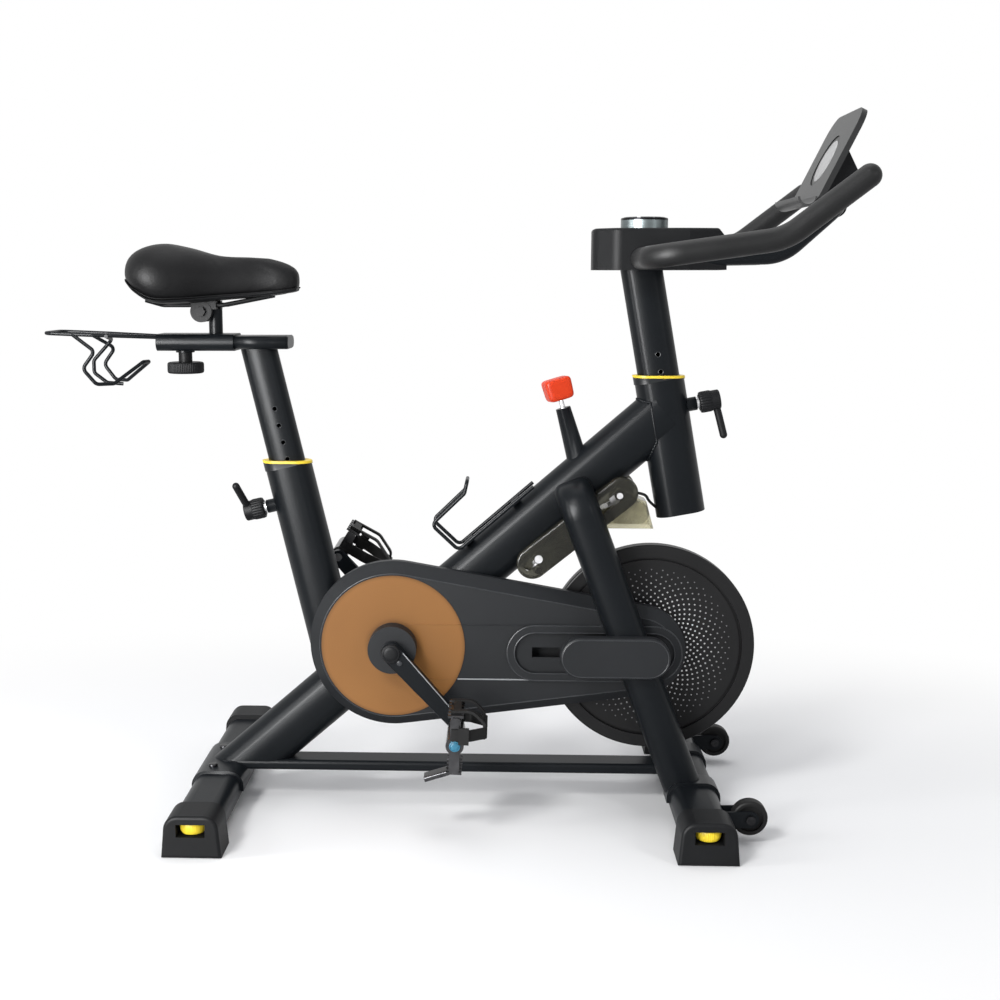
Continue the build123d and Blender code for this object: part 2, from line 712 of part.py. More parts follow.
def belt_guard_inner():
    """Inner guard plate behind the pulleys with openings for the shell and the flywheel hub."""
    plate = slab(guard_outline(0.0), GUARD_BACK_Y, GUARD_BACK_Y - 2.5)
    plate -= rod_y(BB_SHELL_R + 0.5, -100, 0, BB_X, BB_Z)
    return plate - rod_y(HUB_R + 4.0, -100, 0, WHEEL_X, WHEEL_Z)


def guard_disc():
    """Copper-brown disc set into the guard's face around the crank collar."""
    back = GUARD_FACE_Y + DISC_SUNK
    disc = rod_y(DISC_R, back - DISC_THICK, back, BB_X, BB_Z)
    return disc - rod_y(COLLAR_R, back - DISC_THICK, back, BB_X, BB_Z)


def axle_badge():
    """Bare stadium cover over the axle nut, hollow, its rim resting on the right leg's flat face."""
    r = BADGE_TALL / 2
    back = -LEG_Y - LEG_WIDE / 2

    def outline(inset):
        return slot_between(BADGE_X0 + r, BADGE_Z, BADGE_X1 - r, BADGE_Z, r - inset)

    cover = slab(outline(0.0), back, BADGE_FACE_Y)
    cover = fillet(cover.faces().sort_by(Axis.Y)[0].edges(), 4.0)
    return cover - slab(outline(BADGE_WALL), back, BADGE_FACE_Y + BADGE_WALL)


def flywheel():
    """Flywheel disc: thick rim, groove, slightly sunk faces and a bore for the hub."""
    wheel = rod_y(WHEEL_R, -WHEEL_HALF, WHEEL_HALF, WHEEL_X, WHEEL_Z)
    wheel = fillet(wheel.edges(), 3.0)
    for side in (-1, 1):
        outer, inner = side * WHEEL_HALF, side * (WHEEL_HALF - FACE_DROP)
        deep = side * (WHEEL_HALF - GROOVE_DROP)
        face = rod_y(FACE_R, min(outer, inner), max(outer, inner), WHEEL_X, WHEEL_Z)
        groove = rod_y(FACE_R + GROOVE_WIDE, min(outer, deep), max(outer, deep), WHEEL_X, WHEEL_Z)
        groove -= rod_y(FACE_R, min(outer, deep), max(outer, deep), WHEEL_X, WHEEL_Z)
        wheel -= face + groove
    return wheel - rod_y(HUB_R, -WHEEL_HALF, WHEEL_HALF, WHEEL_X, WHEEL_Z)


def flywheel_hub():
    """Hub through the flywheel with flange and the small belt pulley on its right end."""
    hub = rod_y(HUB_R, -HUB_HALF + 2.0, HUB_HALF, WHEEL_X, WHEEL_Z)
    hub += rod_y(HUB_R + 14.0, WHEEL_HALF - FACE_DROP, WHEEL_HALF + 4.0, WHEEL_X, WHEEL_Z)
    hub += rod_y(HUB_R - 10.0, BELT_Y, -HUB_HALF + 2.0, WHEEL_X, WHEEL_Z)
    hub += rod_y(
        SMALL_PULLEY_R, BELT_Y - BELT_WIDE / 2 - 1.0, BELT_Y + BELT_WIDE / 2 + 1.0, WHEEL_X, WHEEL_Z
    )
    return hub - rod_y(HUB_BEARING_R + RUNNING_GAP, -AXLE_HALF, AXLE_HALF, WHEEL_X, WHEEL_Z)


def hex_nut(y_near, y_far, x, z):
    return slab(Pos(x, z) * RegularPolygon(NUT_R, 6), y_far, y_near)


def flywheel_axle():
    """Fixed flywheel axle with the two nuts outside the leg plates."""
    axle = rod_y(AXLE_R, -AXLE_HALF, AXLE_HALF, WHEEL_X, WHEEL_Z)
    plate = LEG_Y + LEG_WIDE / 2 + DROPOUT_THICK
    nut = hex_nut(-plate - NUT_TALL, -plate, WHEEL_X, WHEEL_Z)
    nut -= axle
    return Compound(children=[axle, nut, mirrored(nut)])


def bearing(y, outer, inner, x, z):
    ring = rod_y(outer, y - 4.5, y + 4.5, x, z)
    return ring - rod_y(inner, y - 4.5, y + 4.5, x, z)


def bearings():
    """Two bottom bracket bearings and two flywheel hub bearings."""
    inner = CRANK_AXLE_R + RUNNING_GAP
    rings = [bearing(side * 27.0, BB_BEARING_R, inner, BB_X, BB_Z) for side in (-1, 1)]
    rings += [bearing(y, HUB_BEARING_R, AXLE_R, WHEEL_X, WHEEL_Z) for y in (-43.5, 21.0)]
    return Compound(children=rings)


def drive_belt():
    """Flat belt around the big and the small pulley."""
    y_far, y_near = BELT_Y + BELT_WIDE / 2, BELT_Y - BELT_WIDE / 2
    outer = teardrop(
        -BELT_GAP - BELT_THICK, BIG_PULLEY_R, WHEEL_X, WHEEL_Z, SMALL_PULLEY_R
    )
    inner = teardrop(-BELT_GAP, BIG_PULLEY_R, WHEEL_X, WHEEL_Z, SMALL_PULLEY_R)
    return slab(outer, y_far, y_near) - slab(inner, y_far, y_near)


def drive_pulley():
    """Large belt pulley: rim, thin web with round openings and a hub on the crank axle."""
    y_far, y_near = BELT_Y + BELT_WIDE / 2 + 1.0, BELT_Y - BELT_WIDE / 2 - 1.0
    pulley = rod_y(BIG_PULLEY_R, y_near, y_far, BB_X, BB_Z)
    hollow = rod_y(BIG_PULLEY_R - 8.0, y_near, BELT_Y - 2.0, BB_X, BB_Z)
    hollow += rod_y(BIG_PULLEY_R - 8.0, BELT_Y + 2.0, y_far, BB_X, BB_Z)
    pulley -= hollow - rod_y(24.0, y_near, y_far, BB_X, BB_Z)
    for i in range(6):
        a = radians(60 * i)
        pulley -= rod_y(16.0, y_near, y_far, BB_X + 60 * cos(a), BB_Z + 60 * sin(a))
    return pulley - rod_y(CRANK_AXLE_R, y_near, y_far, BB_X, BB_Z)


def crank_axle():
    return rod_y(CRANK_AXLE_R, -CRANK_OUT + 3.0, CRANK_OUT - 3.0, BB_X, BB_Z)


def crank_end(side):
    """Pedal axis in X and Z for the right (1) or left (-1) crank."""
    a = radians(CRANK_ANGLE)
    return (BB_X + side * CRANK_LENGTH * cos(a), BB_Z + side * CRANK_LENGTH * sin(a))


def crank_arm():
    """Right crank arm: tapered bar between the axle eye and the pedal eye."""
    x, z = crank_end(1)
    turn = atan2(z - BB_Z, x - BB_X)
    lean = acos((CRANK_HUB_R - CRANK_END_R) / CRANK_LENGTH)

    def on(cx, cz, radius, angle):
        return (cx + radius * cos(angle), cz + radius * sin(angle))

    hub = ThreePointArc(
        on(BB_X, BB_Z, CRANK_HUB_R, turn + lean),
        on(BB_X, BB_Z, CRANK_HUB_R, turn + radians(180)),
        on(BB_X, BB_Z, CRANK_HUB_R, turn - lean),
    )
    end = ThreePointArc(
        on(x, z, CRANK_END_R, turn - lean), on(x, z, CRANK_END_R, turn), on(x, z, CRANK_END_R, turn + lean)
    )
    face = make_face([hub, Line(hub @ 1, end @ 0), end, Line(end @ 1, hub @ 0)])
    arm = slab(face, -CRANK_IN, -CRANK_OUT)
    arm = fillet(arm.faces().sort_by(Axis.Y)[0].edges(), 3.0)
    arm -= rod_y(CRANK_AXLE_R, -CRANK_OUT + 3.0, -CRANK_IN, BB_X, BB_Z)
    return arm - rod_y(SPINDLE_R + 2.0, -CRANK_OUT, -CRANK_IN, x, z)


def crank_arms():
    right = crank_arm()
    left = mirrored(right).rotate(Axis((BB_X, 0, BB_Z), (0, 1, 0)), 180)
    return Compound(children=[right, left])


def crank_hardware():
    """Crank bolt caps and the two pedal spindles."""
    x, z = crank_end(1)
    cap = rod_y(9.0, -CRANK_OUT - 3.0, -CRANK_OUT, BB_X, BB_Z)
    spindle = rod_y(SPINDLE_R + 2.0, -CRANK_OUT, -CRANK_IN, x, z)
    spindle += rod_y(9.0, -PEDAL_IN + 3.0, -CRANK_OUT, x, z)
    spindle += rod_y(SPINDLE_R, -PEDAL_OUT + 6.0, -PEDAL_IN + 3.0, x, z)
    right = Compound(children=[cap, spindle])
    left = mirrored(right).rotate(Axis((BB_X, 0, BB_Z), (0, 1, 0)), 180)
    return Compound(children=[cap, spindle, *left.solids()])


def pedal_cage_plate():
    """Toothed cage plate in the pedal's own frame: sketch x along the foot, y across."""
    plate = Box(4.0, PEDAL_OUT - PEDAL_IN - 8.0, PEDAL_THICK)
    for i in range(5):
        y = (i - 2) * 16.0
        plate -= Pos(0, y, PEDAL_THICK / 2) * Box(6.0, 9.0, 8.0)
        plate -= Pos(0, y, -PEDAL_THICK / 2) * Box(6.0, 9.0, 8.0)
    return plate


def pedal_local():
    """Pedal body about its axle along Y: barrel, end bars, toothed cage plates and a bent tail."""
    width = PEDAL_OUT - PEDAL_IN
    body = Rot(90, 0, 0) * Cylinder(PEDAL_BARREL_R, width)
    for side in (-1, 1):
        bar = Pos(0, side * (width / 2 - 5.0), 0) * Box(PEDAL_LONG - 6.0, 10.0, PEDAL_THICK - 8.0)
        body += fillet(bar.edges().filter_by(Axis.Y), 5.0)
        body += Pos(side * (PEDAL_LONG / 2 - 2.0), 0, 0) * pedal_cage_plate()
    body += Box(PEDAL_LONG - 6.0, 18.0, 8.0)
    end = PEDAL_LONG / 2
    tail = [(end - 3.0, 0, -2.0), (end + 8.0, 0, -6.0), (end + 22.0, 0, -46.0)]
    path = FilletPolyline(*tail, radius=12.0)
    start = Plane(origin=path @ 0, x_dir=(0, 1, 0), z_dir=path % 0)
    body += sweep(start * RectangleRounded(26.0, 8.0, 2.5), path=path)
    bore = Rot(90, 0, 0) * Cylinder(SPINDLE_R + RUNNING_GAP, 2 * width)
    counter = Rot(90, 0, 0) * Cylinder(9.0 + 0.4, 12.0)
    return body - bore - Pos(0, width / 2, 0) * counter


def toe_cage_local(reach):
    """Toe cage on the pedal's front end: two bent bars joined at the tip, a strap over them, its buckle."""
    front = -PEDAL_LONG / 2
    half = (PEDAL_OUT - PEDAL_IN) / 2 + STRAP_THICK / 2 + 0.1
    top = reach + TOE_BAR_THICK / 2 + STRAP_THICK / 2
    pieces = None
    for side in (-1, 1):
        y = side * TOE_BAR_Y
        points = [(front - 2.1, y, -8.0), (front - 4.0, y, 0.55 * reach)]
        points += [(front + 14.0, y, reach), (-8.0, y, reach)]
        path = FilletPolyline(*points, radius=[20.0, 14.0])
        start = Plane(origin=path @ 0, x_dir=(0, 1, 0), z_dir=path % 0)
        bar = sweep(start * Rectangle(TOE_BAR_WIDE, TOE_BAR_THICK), path=path)
        pieces = bar if pieces is None else pieces + bar
    pieces += Pos(-12.0, 0, reach) * Box(10.0, 2 * TOE_BAR_Y, TOE_BAR_THICK)
    pieces += Pos(front + 3.0 - 5.0, 0, 2.0) * Box(TOE_BAR_THICK, 2 * TOE_BAR_Y, 12.0)
    points = [(0, half, -6.0), (0, half, 0.5 * reach), (0, TOE_BAR_Y + 2.0, top)]
    points += [(x, -y, z) for x, y, z in reversed(points)]
    path = FilletPolyline(*points, radius=8.0)
    start = Plane(origin=path @ 0, x_dir=(1, 0, 0), z_dir=path % 0)
    strap = Pos(-18.0, 0, 0) * sweep(start * Rectangle(STRAP_WIDE - 4.0, STRAP_THICK), path=path)
    buckle = Pos(-18.0, -half - 4.1, 0.3 * reach) * Box(STRAP_WIDE + 4.0, 5.0, 16.0)
    return Compound(children=[pieces - strap, strap, buckle])


def place_pedal(shape, side, turn):
    """Set a pedal piece on the crank's end, turned about its axle; the left one is the mirror image."""
    x, z = crank_end(side)
    y = -side * (PEDAL_IN + PEDAL_OUT) / 2
    own = shape if side > 0 else mirrored(shape)
    return Pos(x, y, z) * Rot(0, turn, 0) * own


def right_pedal_body():
    return place_pedal(pedal_local(), 1, RIGHT_PEDAL_TURN)


def right_pedal_strap():
    return place_pedal(toe_cage_local(RIGHT_CAGE_REACH), 1, RIGHT_PEDAL_TURN)


def left_pedal_body():
    return place_pedal(pedal_local(), -1, LEFT_PEDAL_TURN)


def left_pedal_strap():
    return place_pedal(toe_cage_local(LEFT_CAGE_REACH), -1, LEFT_PEDAL_TURN)


def cover_point(t, drop=0.0):
    """Point along the brake cover's centre line, dropped square to it."""
    dx, dz = COVER_HIGH_X - COVER_LOW_X, COVER_HIGH_Z - COVER_LOW_Z
    long = hypot(dx, dz)
    return (COVER_LOW_X + t * dx + drop * dz / long, COVER_LOW_Z + t * dz - drop * dx / long)


def cover_slot(t0, t1, radius):
    low, high = cover_point(t0), cover_point(t1)
    return slot_between(low[0], low[1], high[0], high[1], radius)


def brake_cover():
    """Right smoky brake cover: stadium shell open to the inside with two slots."""
    face = cover_slot(0.0, 1.0, COVER_R)
    cover = slab(face, -COVER_IN, -COVER_OUT)
    cover = fillet(cover.faces().sort_by(Axis.Y)[0].edges(), 4.0)
    cover -= slab(cover_slot(0.0, 1.0, COVER_R - PLASTIC_WALL), -COVER_IN, -COVER_OUT + PLASTIC_WALL)
    cover -= slab(cover_slot(-0.05, 0.07, 5.5), -COVER_IN, -COVER_OUT - 1.0)
    cover -= slab(cover_slot(0.76, 0.97, 7.0), -COVER_IN, -COVER_OUT - 1.0)
    cover += slab(cover_slot(0.07, 0.0701, 8.0), -COVER_IN, -COVER_OUT + PLASTIC_WALL)
    cover += slab(cover_slot(0.97, 0.9701, 8.0), -COVER_IN, -COVER_OUT + PLASTIC_WALL)
    for t in (0.07, 0.97):
        x, z = cover_point(t)
        cover -= rod_y(3.0, -COVER_OUT - 2.0, -COVER_IN, x, z)
    return cover - leg_solid(MOVING_GAP)


def brake_covers():
    cover = brake_cover()
    right = cover - sensor_lead()
    return Compound(children=[right, mirrored(cover)])


def arm_slot(t0, t1, radius):
    low, high = cover_point(t0, ARM_DROP), cover_point(t1, ARM_DROP)
    return slot_between(low[0], low[1], high[0], high[1], radius)


def magnet_arm():
    """Swinging channel arm with side plates that carry round magnets over the flywheel's rim."""
    arm = slab(arm_slot(0.0, 1.0, ARM_TALL / 2), ARM_HALF, -ARM_HALF)
    x, z = cover_point(0.0, ARM_DROP)
    top = cover_point(1.0, ARM_DROP)
    outline = slot_between(SHROUD_X0 + 24, SHROUD_Z + 24, SHROUD_X1 - 24, SHROUD_Z + 24, 17.0)
    plates = slab(outline, ARM_HALF, -ARM_HALF)
    plates += slab(slot_between(top[0] - 14, top[1], top[0] + 4, SHROUD_Z + 30, 14.0), ARM_HALF, -ARM_HALF)
    arm += plates
    gap = MAGNET_THICK + WHEEL_HALF + 1.5
    arm -= slab(arm_slot(0.0, 1.0, ARM_TALL / 2 - 3.0), gap, -gap) - slab(arm_slot(0.0, 0.0001, 9.0), gap, -gap)
    arm -= slab(slot_between(SHROUD_X0, SHROUD_Z + 18, SHROUD_X1, SHROUD_Z + 18, 26.0), gap, -gap)
    arm -= rod_y(ARM_PIN_R + RUNNING_GAP, -60, 60, x, z)
    for cx in (SHROUD_X0 + 24, SHROUD_X1 - 24):
        for side in (-1, 1):
            y = side * (gap - MAGNET_THICK / 2)
            arm += rod_y(MAGNET_R, y - MAGNET_THICK / 2, y + MAGNET_THICK / 2, cx, SHROUD_Z + 20)
    return arm - main_solid(MOVING_GAP)


def magnet_shroud():
    """Smoky shroud over the magnets, open below, its lower edge following the flywheel's rim."""
    top = cover_point(1.02, ARM_DROP)
    outline = Polyline(
        (SHROUD_X0, SHROUD_Z), (SHROUD_X1, SHROUD_Z), (SHROUD_X1 - 12.0, SHROUD_Z + 44.0),
        (top[0] + 8.0, top[1] + 2.0), (SHROUD_X0 - 6.0, SHROUD_Z + 30.0), close=True,
    )
    face = make_face(outline)
    outer, inner = ARM_HALF + 4.0, ARM_HALF + 1.5
    shroud = slab(face, outer, -outer) - slab(Pos(-3.0, -3.0) * face, inner, -inner)
    shroud -= slab(arm_slot(-0.2, 1.06, ARM_TALL / 2 + 0.3), inner, -inner)
    return shroud - rod_y(WHEEL_R + 29.0, -60, 60, WHEEL_X, WHEEL_Z) - main_solid(MOVING_GAP) - magnet_arm()


def sensor_lead():
    """Short black lead from the right brake cover to the head tube."""
    x, z = cover_point(1.0)
    points = [(x + COVER_R - 2.0, -34.0, z), (x + COVER_R + 12.0, -34.0, z - 1.0)]
    points += [(334.0, -14.0, 506.0), (352.0, 0.0, 492.0)]
    return wire_rod(points, 8.0, LEAD_R)


def tension_rod():
    """Silver tension rod through the guide and the main tube."""
    return rod_line(ROD_R, ROD_LENGTH, KNOB_RISE + 12.0)


def tension_knob():
    """Red-orange rounded block on the rod's top."""
    block = RectangleRounded(KNOB_SIZE, KNOB_SIZE, 7.0)
    knob = extrude(ROD * Pos(0, 0, KNOB_RISE) * block, amount=KNOB_TALL)
    knob = fillet(knob.faces().sort_by(Axis.Z)[-1].edges() + knob.faces().sort_by(Axis.Z)[0].edges(), 5.0)
    return knob - extrude(ROD * Pos(0, 0, KNOB_RISE) * Circle(ROD_R + RUNNING_GAP), amount=12.5)


def arm_pin():
    """Pivot pin of the magnet arm between the two brake covers."""
    x, z = cover_point(0.0, ARM_DROP)
    return rod_y(ARM_PIN_R, -COVER_OUT + PLASTIC_WALL, COVER_OUT - PLASTIC_WALL, x, z)


def collar(post, tube_long, tube_wide, post_long, post_wide):
    """Yellow collar: lip on the tube's top and a guide sleeve down inside it."""
    rim = SlotOverall(tube_long + 2 * COLLAR_LIP, tube_wide + 2 * COLLAR_LIP)
    lip = extrude(post * rim, amount=COLLAR_TALL)
    bore = SlotOverall(tube_long - 2 * STEEL_WALL, tube_wide - 2 * STEEL_WALL)
    sleeve = extrude(post * bore, amount=-COLLAR_SLEEVE)
    hole = SlotOverall(post_long + 2 * SLIDE_GAP, post_wide + 2 * SLIDE_GAP)
    ring = lip + sleeve - extrude(post.offset(-COLLAR_SLEEVE) * hole, amount=COLLAR_SLEEVE + COLLAR_TALL)
    return ring


def post_collars():
    seat = collar(SEAT, SEAT_LONG, SEAT_WIDE, SEAT_POST_LONG, SEAT_POST_WIDE)
    seat -= lock_bore(SEAT, SEAT_LONG, LOCK_DOWN_SEAT, -1)
    head = collar(HEAD, HEAD_LONG, HEAD_WIDE, BAR_POST_LONG, BAR_POST_WIDE)
    head -= lock_bore(HEAD, HEAD_LONG, LOCK_DOWN_HEAD, 1)
    return Compound(children=[seat, head])


def index_holes(post, first, count, wide):
    """Row of round index holes in a post's right side."""
    holes = []
    for i in range(count):
        at = post.from_local_coords((3.0, 0, first + i * INDEX_PITCH))
        holes.append(rod_y(INDEX_HOLE_R, -wide, 0, at.X, at.Z))
    return holes


def seat_bar_solid(grow=0.0):
    """Flat-oval seat bar along X."""
    start = Plane(origin=(SEAT_BAR_X0, 0, SEAT_BAR_Z), x_dir=(0, 1, 0), z_dir=(1, 0, 0))
    section = SlotOverall(SEAT_BAR_WIDE + 2 * grow, SEAT_BAR_TALL + 2 * grow)
    return extrude(start * section, amount=SEAT_BAR_X1 - SEAT_BAR_X0)


def seat_post():
    """Seat post with index holes, carrying the welded flat-oval seat bar."""
    rise = (SEAT_BAR_Z - SEAT_TOP_Z) / cos(radians(SEAT_LEAN))
    start = SEAT.offset(-SEAT_POST_SUNK)
    post = extrude(start * SlotOverall(SEAT_POST_LONG, SEAT_POST_WIDE), amount=SEAT_POST_SUNK + rise)
    bore = SlotOverall(SEAT_POST_LONG - 2 * STEEL_WALL, SEAT_POST_WIDE - 2 * STEEL_WALL)
    post -= extrude(start * bore, amount=SEAT_POST_SUNK + rise)
    for hole in index_holes(SEAT, 12.0, 4, SEAT_POST_WIDE):
        post -= hole
    bar = seat_bar_solid()
    post = (post - bar) + (bar - seat_bar_solid(-STEEL_WALL))
    plug = Plane(origin=(SEAT_BAR_X1 - 6.0, 0, SEAT_BAR_Z), x_dir=(0, 1, 0), z_dir=(1, 0, 0))
    cap = extrude(plug * SlotOverall(SEAT_BAR_WIDE - 2.0, SEAT_BAR_TALL - 2.0), amount=8.0)
    return post + fillet(cap.faces().sort_by(Axis.X)[-1].edges(), 1.5)


def seat_sleeve():
    """Slider sleeve on the seat bar with the saddle stem on top and the knob's boss below."""
    start = Plane(origin=(SLIDER_X0, 0, SEAT_BAR_Z), x_dir=(0, 1, 0), z_dir=(1, 0, 0))
    grow = SLIDE_GAP + SLIDER_WALL
    sleeve = extrude(
        start * SlotOverall(SEAT_BAR_WIDE + 2 * grow, SEAT_BAR_TALL + 2 * grow), amount=SLIDER_X1 - SLIDER_X0
    )
    hole = SlotOverall(SEAT_BAR_WIDE + 2 * SLIDE_GAP, SEAT_BAR_TALL + 2 * SLIDE_GAP)
    top = SEAT_BAR_Z + SEAT_BAR_TALL / 2 + SLIDE_GAP
    base = SEAT_BAR_Z - SEAT_BAR_TALL / 2 - SLIDE_GAP
    up = (Align.CENTER, Align.CENTER, Align.MIN)
    stem = Pos(STEM_X, 0, top) * Cylinder(STEM_R, TILT_Z - top + 4.0, align=up)
    knuckle = rod_y(TILT_R, -TILT_R, TILT_R, TILT_X, TILT_Z)
    neck = Pos((STEM_X + TILT_X) / 2, 0, TILT_Z - 2.0) * Box(STEM_X - TILT_X, 2 * STEM_R - 4.0, 18.0)
    boss = Pos(SLIDER_KNOB_X, 0, base) * Cylinder(15.0, 6.0, align=(Align.CENTER, Align.CENTER, Align.MAX))
    sleeve += stem + neck + knuckle + boss
    sleeve -= extrude(start.offset(PLASTIC_WALL) * hole, amount=SLIDER_X1 - SLIDER_X0)
    sleeve -= rod_y(4.0 + RUNNING_GAP, -50, 50, TILT_X, TILT_Z)
    bore = Pos(SLIDER_KNOB_X, 0, base + 6.0) * Cylinder(5.0 + RUNNING_GAP, 30.0)
    return sleeve - bore


def slider_knob():
    """Round slider knob with a ribbed rim on its stem under the sleeve."""
    middle = SLIDER_KNOB_Z + SLIDER_KNOB_TALL / 2
    knob = Pos(SLIDER_KNOB_X, 0, middle) * Cylinder(SLIDER_KNOB_R, SLIDER_KNOB_TALL)
    knob = fillet(knob.edges().filter_by(GeomType.CIRCLE), 2.5)
    top = SEAT_BAR_Z - SEAT_BAR_TALL / 2 - SLIDE_GAP - 6.0 - MOVING_GAP
    low = SLIDER_KNOB_Z + SLIDER_KNOB_TALL - 1.0
    neck = Pos(SLIDER_KNOB_X, 0, low) * Cylinder(11.0, top - low, align=(Align.CENTER, Align.CENTER, Align.MIN))
    screw_top = SEAT_BAR_Z - SEAT_BAR_TALL / 2 - 1.0
    up = (Align.CENTER, Align.CENTER, Align.MIN)
    screw = Pos(SLIDER_KNOB_X, 0, low) * Cylinder(5.0, screw_top - low, align=up)
    return knob + neck + screw


def rear_rack():
    """Wire rack behind the slider: flat loop, two side hooks that meet in a lip, and a middle hook."""
    z = SEAT_BAR_Z + 8.0
    start = SLIDER_X0 + 1.0
    loop = [(start, -22, z), (-556, -42, z + 4), (-633, -42, z + 7)]
    loop += [(-633, 42, z + 7), (-556, 42, z + 4), (start, 22, z)]
    rack = wire_rod(loop, [30.0, 14.0, 14.0, 30.0], RACK_WIRE_R)
    hook = [(-588, -42, z + 5), (-548, -58, 749), (-568, -60, 722), (-548, -56, 697), (-524, -40, 697)]
    hook += [(-484, -9, 730), (-478, 9, 730), (-524, 40, 697)]
    hook += [(-548, 56, 697), (-568, 60, 722), (-548, 58, 749)]
    hook += [(-588, 42, z + 5)]
    rack += wire_rod(hook, [8.0, 10.0, 10.0, 8.0, 6.0, 6.0, 8.0, 10.0, 10.0, 8.0], RACK_WIRE_R)
    middle = [(-534, -42, z + 2), (-534, -6, z - 4), (-566, -4, 732)]
    middle += [(-566, -4, 712), (-546, -2, 696), (-520, -2, 694)]
    rack += wire_rod(middle, [10.0, 10.0, 8.0, 10.0], RACK_WIRE_R)
    return rack - Pos(SLIDER_X0 + 50.0, 0, z) * Box(100, 200, 40)


def bottle_cage():
    """Wire bottle cage on the main tube: base runs, bottom, outer side and a raised tip."""
    up = MAIN_TALL / 2 + CAGE_WIRE_R

    def at(along, off, y):
        x = BB_X + along * MAIN_C - (up + off) * MAIN_S
        z = BB_Z + along * MAIN_S + (up + off) * MAIN_C
        return (x, y, z)

    half = [(340, 0), (180, 0), (174, 60), (248, 64), (264, 76)]
    points = [at(a, o, -CAGE_HALF) for a, o in half] + [at(a, o, CAGE_HALF) for a, o in reversed(half)]
    cage = wire_rod(points, [9.0, 9.0, 9.0, 7.0, 7.0, 9.0, 9.0, 9.0], CAGE_WIRE_R)
    strip = Plane(origin=at(180, -CAGE_WIRE_R, 0), x_dir=(0, 1, 0), z_dir=(-MAIN_S, 0, MAIN_C))
    for along in (200, 300):
        strip = Plane(origin=at(along, -CAGE_WIRE_R, 0), x_dir=(0, 1, 0), z_dir=(-MAIN_S, 0, MAIN_C))
        cage += extrude(strip * Rectangle(2 * CAGE_HALF + 4.0, 16.0), amount=3.0)
    return cage - main_solid()


def saddle_clamp():
    """Saddle clamp: two serrated cheeks, cross bolt and jaws on the rails."""
    clamp = rod_y(4.0, -34, 34, TILT_X, TILT_Z)
    for side in (-1, 1):
        near, far = sorted((side * (TILT_R + 0.5), side * 28.0))
        cheek = rod_y(17.0, near, far, TILT_X, TILT_Z)
        clamp += cheek
        jaw = Pos(TILT_X + 4.0, side * RAIL_ROD_Y, TILT_Z + RAIL_RISE) * Box(40.0, 14.0, 13.0)
        clamp += jaw
        inner, outer = sorted((side * 28.0, side * 34.0))
        nut = slab(Pos(TILT_X, TILT_Z) * RegularPolygon(8.0, 6), outer, inner)
        clamp += nut
    return clamp - saddle_rails()


def saddle_rails():
    """Two bent saddle rails under the pan."""
    rails = []
    for side in (-1, 1):
        y = side * RAIL_ROD_Y
        low = TILT_Z + RAIL_RISE
        points = [(-470, side * 34, 829), (-446, y, low), (-350, y, low), (-272, side * 12, 836)]
        rails.append(wire_rod(points, 14.0, RAIL_ROD_R))
    return Compound(children=rails)


def saddle_section(x, half, low, mid, top, low_half):
    """One cross section of the saddle: flat base, drawn-in sides and a crowned top."""
    base = Line((low_half, low), (-low_half, low))
    left = ThreePointArc((-low_half, low), (-half + 0.12 * (half - low_half), (low + mid) / 2), (-half, mid))
    crown = ThreePointArc((-half, mid), (0, top), (half, mid))
    right = ThreePointArc((half, mid), (half - 0.12 * (half - low_half), (low + mid) / 2), (low_half, low))
    face = make_face([base, left, crown, right])
    return Plane(origin=(x, 0, 0), x_dir=(0, 1, 0), z_dir=(1, 0, 0)) * face


def saddle_cushion():
    """Padded saddle: wide crowned back drawn in to a narrow nose."""
    back, nose = SADDLE_BACK_X, SADDLE_NOSE_X
    h = SADDLE_HALF
    sections = [
        saddle_section(back, 0.34 * h, 858, 872, 886, 0.26 * h),
        saddle_section(back + 8, 0.68 * h, 848, 874, 901, 0.56 * h),
        saddle_section(back + 26, 0.92 * h, 836, 874, 912, 0.76 * h),
        saddle_section(back + 52, h, 828, 873, 917, 0.84 * h),
        saddle_section(back + 96, 0.9 * h, 828, 868, 910, 0.72 * h),
        saddle_section(back + 145, 0.58 * h, 834, 864, 896, 0.46 * h),
        saddle_section(back + 200, 0.37 * h, 838, 861, 887, 0.29 * h),
        saddle_section(nose - 24, 0.3 * h, 842, 859, 881, 0.24 * h),
        saddle_section(nose - 5, 0.22 * h, 846, 858, 872, 0.17 * h),
        saddle_section(nose, 0.12 * h, 851, 857, 863, 0.09 * h),
    ]
    return loft(sections)


def saddle_pan():
    """Hard pan under the padding that takes the rails."""
    back = SADDLE_BACK_X
    h = SADDLE_HALF

    def plate(x, half, low, high):
        face = Pos(0, (low + high) / 2) * Rectangle(2 * half, high - low)
        return Plane(origin=(x, 0, 0), x_dir=(0, 1, 0), z_dir=(1, 0, 0)) * face

    sections = [plate(back + 20, 0.5 * h, 836, 846), plate(back + 56, 0.7 * h, 824, 834)]
    sections += [plate(back + 98, 0.6 * h, 824, 834), plate(back + 155, 0.36 * h, 830, 840)]
    sections += [plate(SADDLE_NOSE_X - 22, 0.2 * h, 837, 847)]
    return loft(sections, ruled=True) - saddle_cushion() - saddle_rails() - saddle_clamp()


def bar_path(side):
    """Centre line of one handlebar side: out, forward and up to the tip."""
    y = -side * BAR_Y
    points = [(BAR_X, 0, BAR_Z), (BAR_X, y, BAR_Z), (BAR_RUN_X, y, BAR_RUN_Z), (BAR_TIP_X, y, BAR_TIP_Z)]
    return FilletPolyline(*points, radius=[42.0, 90.0])


def bar_sweep(side, radius):
    path = bar_path(side)
    start = Plane(origin=path @ 0, z_dir=path % 0)
    return sweep(start * Circle(radius), path=path)


